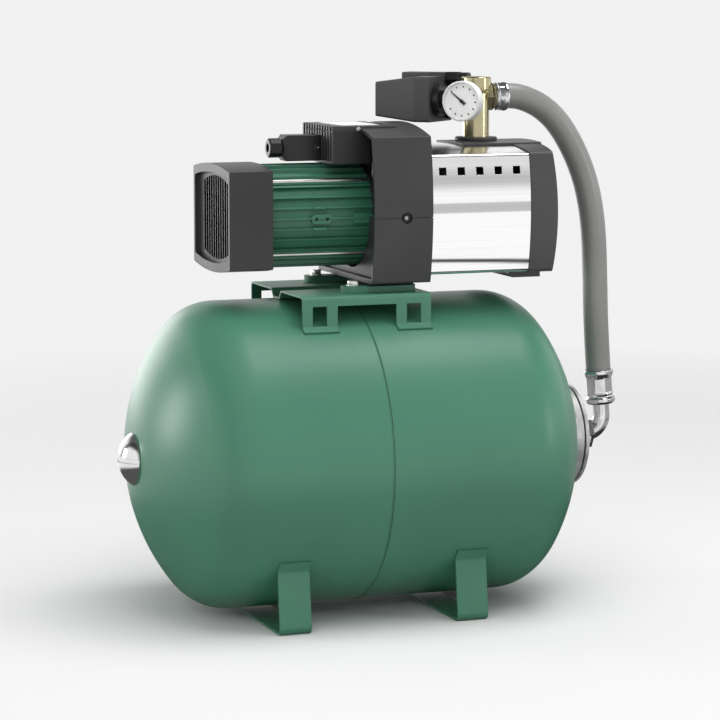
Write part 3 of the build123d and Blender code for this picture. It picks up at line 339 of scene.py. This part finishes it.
# one finish per slot
finishes = {
    "vessel_green": paint("vesselPaint", (70, 126, 102), (66, 120, 97), rough=0.36, grain=620.0,
                          strength=0.14),
    "console_green": paint("consolePaint", (72, 127, 104), (66, 119, 97), rough=0.44, grain=900.0,
                           strength=0.12, edge=0.0012),
    "motor_green": paint("motorPaint", (58, 116, 93), (48, 102, 81), rough=0.34, grain=1200.0,
                         strength=0.08, edge=0.0010),
    "dark_plastic": mouldedPlastic("charcoalPlastic", (55, 55, 56), (48, 48, 49), rough=0.44),
    "black_plastic": mouldedPlastic("blackPlastic", (30, 30, 31), (24, 24, 25), rough=0.34),
    "stainless": polished("polishedStainless", (253, 253, 253), rough=0.045,
                          softFrom=span("pump_shroud", "z")[1] - 0.0105, softRough=0.16),
    "inner_steel": brushedMetal("pressedSteel", (196, 196, 198), rough=0.3, direction=(4.0, 500.0, 500.0)),
    "zinc": plated("brightZinc", (236, 236, 232), (216, 216, 213), rough=0.3),
    "galvanised": spangled("hotDipZinc", (192, 192, 192), (222, 221, 221)),
    "chrome": plated("chrome", (232, 232, 233), (222, 222, 224), rough=0.12),
    "brass": brushedMetal("machinedBrass", (206, 197, 160), rough=0.23, direction=(30.0, 30.0, 2200.0),
                          streak=0.05),
    "copper": plain("enamelledCopper", (176, 98, 54), rough=0.3, metal=0.8),
    "cast_iron": plain("paintedCasting", (58, 58, 60), rough=0.5, edge=0.0012, grain=260.0),
    "core_steel": brushedMetal("laminatedCore", (128, 128, 130), rough=0.4, direction=(2600.0, 3.0, 3.0)),
    "rubber": plain("butylRubber", (40, 40, 40), rough=0.6),
    "hose_grey": hoseRubber("hoseCover", (132, 132, 130), (120, 120, 118)),
    "white_plastic": plain("whitePlastic", (226, 226, 224), rough=0.28, edge=0.0008),
    "dial_white": plain("dialWhite", (250, 250, 249), rough=0.4, edge=0, spread=3),
    "needle_black": plain("needleBlack", (14, 14, 15), rough=0.8, edge=0, spread=4, Specular_IOR_Level=0.1),
    "glass": clearGlass("gaugeGlass", (250, 252, 252)),
    "film_can": plain("capacitorCan", (214, 214, 208), rough=0.35),
}
# nodes whose finish differs from the others of their slot
special = {
    # the fan cover's slots get painted shade behind their face
    "fan_cover": mouldedPlastic("fanCoverPlastic", (47, 47, 48), (42, 42, 43), rough=0.44, edge=0.0016,
                                slots=grilleForm),
    # black plastic fan, made darker still and without sheen as painted shade behind the grille
    "fan": plain("fanPlastic", (14, 14, 15), rough=0.8, edge=0, spread=4, Specular_IOR_Level=0.1),
    "pump_end_cap": mouldedPlastic("endCapPlastic", (68, 68, 69), (61, 61, 62), rough=0.44),
    "switch_cover": mouldedPlastic("switchPlastic", (73, 74, 74), (67, 68, 68), rough=0.44),
    "switch_base": mouldedPlastic("switchBasePlastic", (66, 67, 67), (60, 61, 61), rough=0.46),
    "terminal_box": mouldedPlastic("boxPlastic", (40, 40, 41), (34, 34, 35), rough=0.42),
    "cover_screws": recessedScrew("coverScrew", coverScrewForm),
}
slotOf = {part["node"]: part["material_slot"] for part in frame["record"]["subparts"]}
for name, thing in nodes.items():
    thing.data.materials.clear()
    thing.data.materials.append(special.get(name, finishes[slotOf[name]]))
print("materials:", len(finishes) + len(special))


# pieces
def meshPiece(name, mesh, slot, body="set", smooth=True, finish=None):
    piece = bpy.data.objects.new(name, mesh)
    bpy.context.scene.collection.objects.link(piece)
    mesh.materials.clear()
    mesh.materials.append(finish or finishes[slot])
    for face in mesh.polygons:
        face.use_smooth = smooth
    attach(piece, body)
    return piece


def evaluated(source):
    bpy.context.view_layer.update()
    ready = source.evaluated_get(bpy.context.evaluated_depsgraph_get())
    mesh = bpy.data.meshes.new_from_object(ready)
    bpy.data.objects.remove(source)
    return mesh


def hardened(mesh, degrees=35):
    # smooth faces with sharp edges kept where the shape turns by more than the angle
    shape = bmesh.new()
    shape.from_mesh(mesh)
    bmesh.ops.recalc_face_normals(shape, faces=shape.faces)
    for edge in shape.edges:
        edge.smooth = not (edge.is_manifold and edge.calc_face_angle(0) > math.radians(degrees))
    shape.to_mesh(mesh)
    shape.free()
    return mesh


def meshOf(shape, name):
    # turns the bmesh into a mesh and frees it
    mesh = bpy.data.meshes.new(name)
    shape.to_mesh(mesh)
    shape.free()
    return mesh


def joinedMesh(name, *meshes):
    shape = bmesh.new()
    for mesh in meshes:
        shape.from_mesh(mesh)
    return meshOf(shape, name)


def roundedBlock(name, low, high, corner, slot, body="set", segments=3, upright=False):
    # block with rounded edges, or with only its upright ones rounded
    shape = bmesh.new()
    bmesh.ops.create_cube(shape, size=1)
    size = [b - a for a, b in zip(low, high)]
    bmesh.ops.scale(shape, vec=size, verts=shape.verts)
    edges = shape.edges[:]
    if upright:
        edges = [e for e in edges if abs(e.verts[0].co.z - e.verts[1].co.z) > size[2] / 2]
    bmesh.ops.bevel(shape, geom=edges, offset=corner, segments=segments, affect="EDGES", profile=0.5)
    bmesh.ops.translate(shape, vec=[(a + b) / 2 for a, b in zip(low, high)], verts=shape.verts)
    return meshPiece(name, hardened(meshOf(shape, name)), slot, body)


def latheMesh(name, profile, steps, place, wave=None):
    # profile of (height, radius) turned about local Z; wave changes the radius round the axis
    shape = bmesh.new()
    rings = []
    for height, radius in profile:
        if radius == 0:
            rings.append([shape.verts.new((0, 0, height))])
            continue
        ring = []
        for i in range(steps):
            turn = 2 * math.pi * i / steps
            size = radius + (wave(height, turn) if wave else 0)
            ring.append(shape.verts.new((size * math.cos(turn), size * math.sin(turn), height)))
        rings.append(ring)
    for low, high in zip(rings, rings[1:]):
        for i in range(steps):
            j = i + 1
            corners = [low[i % len(low)], low[j % len(low)], high[j % len(high)], high[i % len(high)]]
            shape.faces.new(list(dict.fromkeys(corners)))
    bmesh.ops.recalc_face_normals(shape, faces=shape.faces)
    mesh = meshOf(shape, name)
    mesh.transform(place)
    return mesh


def frameAt(origin, across, out):
    # frame at a point with its z along out and its x along across
    z = Vector(out).normalized()
    x = Vector(across).normalized()
    y = z.cross(x)
    return Matrix.Translation(origin) @ Matrix((x, y, z)).transposed().to_4x4()


# hose: one smooth curve through the route's points, given in millimetres from the seam and the floor
hoseForm = {
    "radius": 0.016,
    "order": 3,
    "smoothness": 10,
    "exit": (seamX(206.65), 0.0, branchLevel),
    "points": [(206.65, 633.0), (229, 634.5), (249, 629.5), (270, 619.5), (291, 601.5), (310, 574),
               (326, 541.5), (337.5, 505), (344.5, 459), (347, 400), (348.8, 335), (354.03, 266.8)],
    "length": 0.440,
}


def makeHose():
    route = bpy.data.curves.new("waterHose", "CURVE")
    route.dimensions = "3D"
    route.bevel_depth = hoseForm["radius"]
    route.bevel_resolution = hoseForm["smoothness"]
    route.resolution_u = hoseForm["smoothness"]
    route.use_fill_caps = True
    line = route.splines.new("NURBS")
    line.points.add(len(hoseForm["points"]) - 1)
    for point, (x, z) in zip(line.points, hoseForm["points"]):
        point.co = (seamX(x), 0, z / 1000, 1)
    line.order_u = hoseForm["order"]
    line.use_endpoint_u = True
    route.materials.append(finishes["hose_grey"])
    hose = bpy.data.objects.new("waterHose", route)
    bpy.context.scene.collection.objects.link(hose)
    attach(hose, "set")
    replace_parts(hose, "hose")
    return hose


hose = makeHose()
print("hose laid")

# crimped ferrules on both ends of the hose, as (height along the sleeve, radius)
ferruleForm = {
    "flats": 8, "radius": 0.0176, "press": 0.75, "fade": 0.0015, "steps": 96,
    "start": (span("hose_nut", "x")[1], 0, branchLevel),
    "upper": [(0.0, 0.0129), (0.0, 0.0158), (0.0012, 0.0172), (0.0022, 0.0176), (0.0116, 0.0176),
              (0.0134, 0.0184), (0.0160, 0.0184), (0.0166, 0.0179), (0.0166, 0.0168), (0.0050, 0.0161)],
    "upperPress": (0.0030, 0.0118),
    "elbowTop": (seamX(356.735), 0, 0.235864), "lean": 5,
    "lower": [(0.0, 0.0111), (0.0, 0.0170), (0.0008, 0.0178), (0.0028, 0.0191), (0.0070, 0.0191),
              (0.0082, 0.0172), (0.0098, 0.0163), (0.0118, 0.0168), (0.0132, 0.0174), (0.0350, 0.0174),
              (0.0392, 0.0191), (0.0434, 0.0191), (0.0440, 0.0185), (0.0440, 0.0168), (0.0300, 0.0161)],
    "lowerPress": (0.0135, 0.0350),
}


def crimp(start, end):
    # the press leaves flats round the sleeve, which fade out at its ends
    form = ferruleForm

    def wave(height, turn):
        inside = math.prod(min(max(way / form["fade"], 0), 1) for way in (height - start, end - height))
        part = 2 * math.pi / form["flats"]
        flat = math.cos(part / 2) / math.cos(turn % part - part / 2) - 1
        return form["radius"] * form["press"] * flat * inside
    return wave


def dense(profile, step=0.0008):
    # more points along the profile, for the flats to show in
    points = []
    for (h0, r0), (h1, r1) in zip(profile, profile[1:]):
        count = max(1, round(math.hypot(h1 - h0, r1 - r0) / step)) if h0 != h1 else 1
        points += [(h0 + (h1 - h0) * i / count, r0 + (r1 - r0) * i / count) for i in range(count)]
    return points + [profile[-1]]


def makeFerrule(name, profile, press, place):
    mesh = latheMesh(name, dense(profile), ferruleForm["steps"], place, crimp(*press))
    return meshPiece(name, mesh, "chrome")


def makeFerrules():
    form = ferruleForm
    place = frameAt(form["start"], (0, 1, 0), (1, 0, 0))
    first = makeFerrule("upperFerrule", form["upper"], form["upperPress"], place)
    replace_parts(first, "hose_ferrule_upper")
    lean = math.radians(form["lean"])
    across, out = (math.cos(lean), 0, math.sin(lean)), (-math.sin(lean), 0, math.cos(lean))
    second = makeFerrule("lowerFerrule", form["lower"], form["lowerPress"],
                         frameAt(form["elbowTop"], across, out))
    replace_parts(second, "hose_ferrule_lower")
    return first, second


ferrules = makeFerrules()
print("ferrules crimped")


# Geometry Nodes: a tree with named inputs that grows a repeated piece
class Growth(Graph):
    def __init__(self, name, **inputs):
        super().__init__(bpy.data.node_groups.new(name, "GeometryNodeTree"))
        kinds = {int: "NodeSocketInt", float: "NodeSocketFloat"}
        self.tree.interface.new_socket("Geometry", in_out="OUTPUT", socket_type="NodeSocketGeometry")
        for key, value in inputs.items():
            socket = self.tree.interface.new_socket(key, in_out="INPUT", socket_type=kinds[type(value)])
            socket.default_value = value
        self.source = self.tree.nodes.new("NodeGroupInput")

    def value(self, key):
        return Wire(self, self.source.outputs[key])

    def xyz(self, x=0.0, y=0.0, z=0.0):
        return self.add("ShaderNodeCombineXYZ", {}, {0: x, 1: y, 2: z})

    def moved(self, shape, shift):
        return self.add("GeometryNodeTransform", {}, {"Geometry": shape, "Translation": shift})

    def joined(self, *shapes):
        node = self.tree.nodes.new("GeometryNodeJoinGeometry")
        for shape in reversed(shapes):
            self.tree.links.new(shape.socket, node.inputs[0])
        return Wire(self, node.outputs[0])

    def finished(self, shape, slot):
        real = self.add("GeometryNodeRealizeInstances", {}, {"Geometry": shape})
        done = self.add("GeometryNodeSetMaterial", {}, {"Geometry": real, "Material": finishes[slot]})
        out = self.tree.nodes.new("NodeGroupOutput")
        self.tree.links.new(done.socket, out.inputs["Geometry"])
        return self

    def grow(self, name, place, bevel=0.0, **values):
        # plain mesh of the tree with these values, put in its place
        source = bpy.data.objects.new(name, bpy.data.meshes.new(name))
        bpy.context.scene.collection.objects.link(source)
        modifier = source.modifiers.new("growth", "NODES")
        modifier.node_group = self.tree
        for item in self.tree.interface.items_tree:
            if item.in_out == "INPUT" and item.name in values:
                modifier[item.identifier] = values[item.name]
        if bevel:
            rounding = source.modifiers.new("rounding", "BEVEL")
            rounding.width, rounding.segments, rounding.limit_method = bevel, 2, "ANGLE"
        mesh = evaluated(source)
        mesh.transform(place)
        return hardened(mesh)


def onCircle(tree, count, radius, start, step):
    # points on a circle, in degrees counted clockwise from the top, and the turn of each
    row = tree.add("GeometryNodeMeshLine", {}, {"Count": count, "Offset": (0.0, 0.0, 0.0)})
    turn = (tree.add("GeometryNodeInputIndex") * step + start) * (math.pi / 180)
    spot = tree.xyz(turn.maths("SINE") * radius, turn.maths("COSINE") * radius)
    placed = tree.add("GeometryNodeSetPosition", {}, {"Geometry": row, "Position": spot})
    return placed, tree.xyz(0.0, 0.0, turn * -1.0)


# gauge: the dial's distance from the point that the needle's joint names, how far the marks stand above
# the dial, and the marks round it, in degrees from the top
gaugeForm = {"dial": 0.0466, "lift": 0.00002,
             "marks": {"count": 11, "radius": 0.0180, "start": -51.0, "step": 28.8, "long": 0.0026,
                       "wide": 0.0016, "thick": 0.00006}}
needleJoint = joints["needle_sweep"]
toGauge = frameAt(needleJoint["pos_m"], (1, -1, 0), -Vector(needleJoint["axis"]))


def makeMarks():
    tree = Growth("dialMarks", **gaugeForm["marks"])
    spots, turns = onCircle(tree, *[tree.value(key) for key in ("count", "radius", "start", "step")])
    size = tree.xyz(tree.value("wide"), tree.value("long"), tree.value("thick"))
    bar = tree.add("GeometryNodeMeshCube", {}, {"Size": size})
    marks = tree.add("GeometryNodeInstanceOnPoints", {},
                     {"Points": spots, "Instance": bar, "Rotation": turns})
    tree.finished(marks, "needle_black")
    place = toGauge @ Matrix.Translation((0, 0, gaugeForm["dial"] + gaugeForm["lift"]))
    return meshPiece("gaugeMarks", tree.grow("gaugeMarks", place), "needle_black", smooth=False)


makeMarks()

# hexagon screws with washer, shank and nut. The front pair on the console's bars has the first sizes; the
# rear pair, under the bars, and the ring round the flange change some of them
barLeft, barRight = span("carrier_bar_front", "x")
screwForm = {"edge": 0.0004, "crown": 0.44, "crownHigh": 0.0005,
             "sizes": {"count": 2, "circle": -middle("carrier_bar_front", "y"), "start": 0.0, "step": 180.0,
                       "flats": 0.013, "head": 0.0053, "washer": 0.008, "washerHigh": 0.0016,
                       "shankRadius": 0.004, "shank": 0.0200, "nut": 0.0065, "nutAt": 0.0178}}
frontAt = (barLeft + 0.015, 0.0, span("carrier_bar_front", "z")[1])
rearForm = {"at": (barRight - 0.026, 0.0, span("console", "z")[1] - 0.0025),
            "sizes": {"circle": 0.0635, "washer": 0.0062, "washerHigh": 0.0004, "shank": 0.0140,
                      "nut": 0.002, "nutAt": 0.002}}
flangeForm = {"at": (span("counter_flange", "x")[0] + 0.005, 0.0, vesselLevel),
              "sizes": {"count": 6, "circle": 0.048, "start": 30.0, "step": 60.0, "washer": 0.0076,
                        "washerHigh": 0.0006, "shank": 0.0160, "nut": 0.002, "nutAt": 0.002}}


def screwTree():
    tree = Growth("hexScrews", **screwForm["sizes"])
    spots, turns = onCircle(tree, *[tree.value(key) for key in ("count", "circle", "start", "step")])
    high, deep = tree.value("washerHigh"), tree.value("head")
    corner = tree.value("flats") / math.sqrt(3)

    def column(sides, radius, tall, level):
        shape = tree.add("GeometryNodeMeshCylinder", {"fill_type": "NGON"},
                         {"Vertices": sides, "Radius": radius, "Depth": tall})
        return tree.moved(shape, tree.xyz(0.0, 0.0, level))

    head = column(6, corner, deep, high + deep * 0.5)
    crown = column(32, tree.value("flats") * screwForm["crown"], screwForm["crownHigh"], high + deep)
    washer = column(40, tree.value("washer"), high, high * 0.5)
    shank = column(20, tree.value("shankRadius"), tree.value("shank"), tree.value("shank") * -0.5)
    nut = column(6, corner, tree.value("nut"), tree.value("nutAt") * -1.0 + tree.value("nut") * 0.5)
    screw = tree.joined(head, crown, washer, shank, nut)
    screws = tree.add("GeometryNodeInstanceOnPoints", {},
                      {"Points": spots, "Instance": screw, "Rotation": turns})
    return tree.finished(screws, "zinc")


def makeScrews():
    tree, edge = screwTree(), screwForm["edge"]
    front = tree.grow("frontScrews", Matrix.Translation(frontAt), edge)
    place = Matrix.Translation(rearForm["at"]) @ Matrix.Rotation(math.pi, 4, "X")
    rear = tree.grow("rearScrews", place, edge, **rearForm["sizes"])
    carrier = meshPiece("carrierScrews", joinedMesh("carrierScrews", front, rear), "zinc")
    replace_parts(carrier, "carrier_fixings")
    place = frameAt(flangeForm["at"], (0, 1, 0), (1, 0, 0))
    mesh = tree.grow("flangeScrews", place, edge, **flangeForm["sizes"])
    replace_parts(meshPiece("flangeScrews", mesh, "zinc"), "flange_bolts")


makeScrews()

# needle: a tapered blade with a broad tail, on its hub; hubEdge is how wide and how high the hub's edge is
needleForm = {"blade": [(-0.0021, -0.0058), (-0.0013, 0.0), (-0.0005, 0.0172), (0.0005, 0.0172),
                        (0.0013, 0.0), (0.0021, -0.0058)],
              "turn": 51.0, "at": 0.0471, "thick": 0.0007, "hub": 0.0023, "hubEdge": (0.0003, 0.0005),
              "steps": 32}


def makeNeedle():
    form = needleForm
    shape = bmesh.new()
    low = [shape.verts.new((x, y, 0)) for x, y in form["blade"]]
    high = [shape.verts.new((x, y, form["thick"])) for x, y in form["blade"]]
    shape.faces.new(low)
    shape.faces.new(high)
    for i in range(len(low)):
        j = (i + 1) % len(low)
        shape.faces.new((low[i], low[j], high[j], high[i]))
    blade = meshOf(shape, "blade")
    turn = Matrix.Rotation(math.radians(form["turn"]), 4, "Z")
    place = toGauge @ Matrix.Translation((0, 0, form["at"])) @ turn
    blade.transform(place)
    r, t, (edge, rise) = form["hub"], form["thick"], form["hubEdge"]
    profile = [(0, 0), (0, r), (t + edge, r), (t + rise, r - edge), (t + rise, 0)]
    hub = latheMesh("hub", profile, form["steps"], place)
    whole = hardened(joinedMesh("needleBlade", blade, hub))
    piece = meshPiece("needleBlade", whole, "needle_black", "needle")
    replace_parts(piece, "gauge_needle")


makeNeedle()
print("marks, screws and needle made")

# hexagon of the brass branch, with a small gap to the hose nut
hexForm = {"gap": 0.000275, "long": 0.0092, "radius": 0.0164, "corner": 1.05, "edge": 0.0008,
           "bore": 0.0104, "steps": 72, "sharp": 25}


def sixSided(height, turn):
    # how much nearer to the axis the flats are than the corners
    return hexForm["radius"] * (math.cos(math.pi / 6) / math.cos(turn % (math.pi / 3) - math.pi / 6) - 1)


def makeBranchNut():
    form = hexForm
    r, long, bore, edge = form["radius"] * form["corner"], form["long"], form["bore"], form["edge"]
    profile = [(0, bore), (0, r - edge), (edge, r), (long - edge, r), (long, r - edge), (long, bore),
               (0, bore)]
    start = span("hose_nut", "x")[0] - form["gap"] - long
    place = frameAt((start, 0, branchLevel), (0, 1, 0), (1, 0, 0))
    mesh = latheMesh("branchNut", profile, form["steps"], place, sixSided)
    return meshPiece("branchNut", hardened(mesh, form["sharp"]), "brass")


makeBranchNut()

# bare label plate on the lid, and how far it stays from the lid's edges
plateForm = {"left": 0.016, "right": 0.017, "side": 0.014, "thick": 0.0004, "corner": 0.003, "segments": 6}


def makeLidPlate():
    form = plateForm
    (left, right), (near, far) = span("terminal_lid", "x"), span("terminal_lid", "y")
    top = span("terminal_lid", "z")[1]
    roundedBlock("lidPlate", (left + form["left"], near + form["side"], top),
                 (right - form["right"], far - form["side"], top + form["thick"]), form["corner"],
                 "white_plastic", segments=form["segments"], upright=True)


makeLidPlate()

# ribs on the end of the terminal box: on the lid, and on the box in front of the plug. A row has a count,
# a node, and how far the ribs stay from its lower and upper end
ribForm = {"face": span("terminal_lid", "x")[0], "first": -5, "edge": 0.0004,
           "sizes": {"count": 11, "pitch": 0.0096, "wide": 0.0040, "proud": 0.0013, "tall": 0.0061},
           "rows": [(11, "terminal_lid", -0.0005, 0.0004), (3, "terminal_box", 0.0030, 0.0015)]}


def makeBoxRibs():
    form, meshes = ribForm, []
    tree = Growth("boxRibs", **form["sizes"])
    shift = tree.xyz(0.0, tree.value("pitch"), 0.0)
    row = tree.add("GeometryNodeMeshLine", {}, {"Count": tree.value("count"), "Offset": shift})
    size = tree.xyz(tree.value("proud") * 2.0, tree.value("wide"), tree.value("tall"))
    bar = tree.add("GeometryNodeMeshCube", {}, {"Size": size})
    bars = tree.add("GeometryNodeInstanceOnPoints", {}, {"Points": row, "Instance": bar})
    tree.finished(bars, "dark_plastic")
    first = form["first"] * form["sizes"]["pitch"]
    for count, node, foot, top in form["rows"]:
        low, high = span(node, "z")[0] + foot, span(node, "z")[1] - top
        place = Matrix.Translation((form["face"], first, (low + high) / 2))
        meshes.append(tree.grow("ribs", place, form["edge"], count=count, tall=high - low))
    ribs = joinedMesh("boxRibs", *meshes)
    return meshPiece("boxRibs", ribs, "dark_plastic", finish=special["terminal_box"])


makeBoxRibs()

# pads on the motor's fins, above and below the boss
padForm = {"x": (seamX(-58.5), seamX(-41.0)), "levels": {"upperPad": 0.0128, "lowerPad": -0.0128},
           "tip": 0.0655, "half": 0.0017, "proud": 0.0004, "sunk": 0.003, "corner": 0.0008}


def makePads():
    form = padForm
    left, right = form["x"]
    for name, level in form["levels"].items():
        fins = -math.sqrt(form["tip"] ** 2 - level ** 2)
        z = motorLevel + level
        roundedBlock(name, (left, fins - form["proud"], z - form["half"]),
                     (right, fins + form["sunk"], z + form["half"]), form["corner"], "motor_green")


makePads()

# latch on the side of the plug, with its pin: lowest and highest corner from the middle of that side,
# rounding, material
latchForm = {"plugLatch": ((0.017775, -0.0008, -0.0030), (0.023775, 0.0010, 0.0040), 0.0005, "black_plastic"),
             "latchPin": ((0.021775, -0.0014, -0.0005), (0.023375, -0.0004, 0.0015), 0.0003, "zinc")}


def makeLatch():
    plug = "connector_plug"
    side = Vector((middle(plug, "x"), span(plug, "y")[0], middle(plug, "z")))
    for name, (low, high, corner, slot) in latchForm.items():
        roundedBlock(name, side + Vector(low), side + Vector(high), corner, slot, "connector")


makeLatch()
print("plate, ribs, pads and latch made")

# weld seam round the vessel: a lapped edge that stands just proud of the shell, as shares of the half width
# and of the height, and the dark line where the halves meet, painted shade of the gap between them
seamForm = {"radius": span("tank_right_shell", "z")[1] - vesselLevel, "proud": 0.0007, "sunk": 0.0006,
            "half": 0.0015, "steps": 256,
            "lap": [(-1, 0.2), (-0.8, 1), (-0.1, 1), (0, 0.3), (0.1, 0.8), (0.8, 0.8), (1, 0.1)],
            "lineHalf": 0.00045, "lineProud": 1.15, "lineTone": (38, 72, 58)}


def makeSeam():
    form = seamForm
    place = frameAt((seam, 0, vesselLevel), (0, 1, 0), (1, 0, 0))
    r, proud, half = form["radius"], form["proud"], form["half"]
    low = r - form["sunk"]
    lap = [(-half, low)] + [(half * a, r + proud * b) for a, b in form["lap"]] + [(half, low), (-half, low)]
    meshPiece("vesselSeam", latheMesh("vesselSeam", lap, form["steps"], place), "vessel_green")
    line, top = form["lineHalf"], r + proud * form["lineProud"]
    mesh = latheMesh("vesselJoint", [(-line, r), (-line, top), (line, top), (line, r), (-line, r)],
                     form["steps"], place)
    # painted shade: the thin dark ring stands for the shade in the joint between the halves
    shade = plain("jointShade", form["lineTone"], rough=0.6, spread=6)
    return meshPiece("vesselJoint", mesh, "vessel_green", finish=shade)


makeSeam()


# floor and background: a pale sweep, with darker bands that only reflections show. Stops are pairs of
# place and tone: bands by distance on the floor, front and back by height, the others by direction
studio = {
    "pale": (0.88, 0.885, 0.885, 1), "floor": (0.71, 0.71, 0.71, 1), "bounce": (0.72, 0.72, 0.72, 1),
    "dim": (0.04, 0.04, 0.04, 1), "half": 7, "sweep": (0.9, 2.6), "ambient": 0.50, "bandScale": 0.5,
    "bands": [(0.33, 0.10), (0.40, 1.0), (0.542, 1.0), (0.560, 0.06), (0.582, 0.06), (0.602, 1.0)],
    "floorSide": [(0.60, 1.0), (0.72, 0.4)],
    "front": [(0.0, 0.55), (0.004, 0.92), (0.016, 1.0), (0.07, 0.96), (0.10, 0.82), (0.14, 0.56),
              (0.175, 0.52), (0.27, 0.76), (0.40, 0.70), (0.55, 0.25), (1.0, 0.2)],
    "frontSide": [(0.60, 1.0), (0.72, 0.45)],
    "back": [(0.0, 0.85), (0.05, 1.0), (0.46, 1.0), (0.56, 0.35), (0.64, 0.12), (1.0, 0.12)],
    "turn": [(0.25, 0.0), (0.50, 1.0)],
    "flags": [(0.0, 1.0), (0.08, 1.0), (0.11, 0.15), (0.16, 0.15), (0.19, 1.0), (0.79, 1.0),
              (0.81, 0.15), (0.86, 0.15), (0.88, 1.0)],
}


def makeFloor():
    f = Finish("paleFloor")
    camera, glossy = f.rays("Is Camera Ray", "Is Glossy Ray")
    reach = f.add("ShaderNodeVectorMath", {"operation": "LENGTH"}, {0: f.place}, out=1)
    side = f.ramp(f.axes(f.place)[0] / reach, *studio["floorSide"])
    bands = f.ramp(reach * studio["bandScale"], *studio["bands"])
    seen = (camera + glossy).maths("MINIMUM", 1.0)
    start, end = studio["sweep"]
    sweep = f.ramp((reach - start) / (end - start), (0.0, 0.0), (1.0, 1.0)) * camera
    matt = f.add("ShaderNodeBsdfDiffuse", {}, {"Color": f.mixed(seen, studio["bounce"], studio["floor"])})
    glow = f.add("ShaderNodeEmission", {}, {"Color": studio["pale"]})
    mirrored = f.add("ShaderNodeEmission", {}, {"Color": bands * side})
    surface = f.shaders(glossy, f.shaders(sweep, matt, glow), mirrored)
    f.add("ShaderNodeOutputMaterial", {}, {"Surface": surface})
    half = studio["half"]
    mesh = bpy.data.meshes.new("floor")
    mesh.from_pydata([(-half, -half, 0), (half, -half, 0), (half, half, 0), (-half, half, 0)], [],
                     [(0, 1, 2, 3)])
    mesh.materials.append(f.material)
    floor = bpy.data.objects.new("floor", mesh)
    bpy.context.scene.collection.objects.link(floor)


def makeWorld():
    world = bpy.data.worlds.new("studioWorld")
    world.use_nodes = True
    world.node_tree.nodes.clear()
    bpy.context.scene.world = world
    g = Graph(world.node_tree)
    camera, glossy, clear = g.rays("Is Camera Ray", "Is Glossy Ray", "Is Transmission Ray")
    across, depth, height = g.axes(g.add("ShaderNodeTexCoord", out="Generated"))
    before = g.ramp(height, *studio["front"]) * g.ramp(across, *studio["frontSide"])
    behind = g.ramp(height, *studio["back"])
    room = g.mixed(g.ramp(depth + 1.0, *studio["turn"]), before, behind)
    room = g.mixed(g.ramp(across * 0.5 + 0.5, *studio["flags"]), studio["dim"], room)
    mirrored = g.add("ShaderNodeBackground", {}, {"Color": room})
    lit = g.add("ShaderNodeBackground", {}, {"Color": (1, 1, 1, 1), "Strength": studio["ambient"]})
    seen = g.add("ShaderNodeBackground", {}, {"Color": studio["pale"]})
    straight = (camera + clear).maths("MINIMUM", 1.0)
    surface = g.shaders(straight, g.shaders(glossy, lit, mirrored), seen)
    g.add("ShaderNodeOutputWorld", {}, {"Surface": surface})


# lamps: power in watts, size and place in metres; all of them aim at one point
lamps = {
    "sideLamp": (28.0, (0.8, 1.0), (-2.9, 1.5, 0.75)),
    "backLamp": (22.0, (2.0, 1.3), (-0.9, 3.3, 0.7)),
    "topLamp": (61.0, (2.8, 2.4), (0.3, -0.7, 2.9)),
    "rimLamp": (10.0, (0.35, 1.1), (2.6, -2.1, 0.9)),
    "keyLamp": (14.0, (2.2, 1.8), (-1.6, -2.6, 2.0)),
    "crownLamp": (15.0, (1.6, 0.7), (0.9, -0.15, 2.7)),
}
lampAim = Vector((0, 0, 0.33))
unmirrored = ("topLamp", "keyLamp")  # these two light the paint without a sheen


def areaLamp(name, power, size, at):
    lamp = bpy.data.lights.new(name, "AREA")
    lamp.shape, lamp.energy = "RECTANGLE", power
    lamp.size, lamp.size_y = size
    thing = bpy.data.objects.new(name, lamp)
    bpy.context.scene.collection.objects.link(thing)
    thing.location = at
    thing.rotation_euler = (Vector(at) - lampAim).to_track_quat("Z", "Y").to_euler()
    thing.visible_glossy = name not in unmirrored


makeFloor()
makeWorld()
for lampName, settings in lamps.items():
    areaLamp(lampName, *settings)
bpy.context.scene.view_settings.view_transform = "Standard"
print("floor, world and", len(lamps), "lamps set")

2 * hoseForm["radius"]
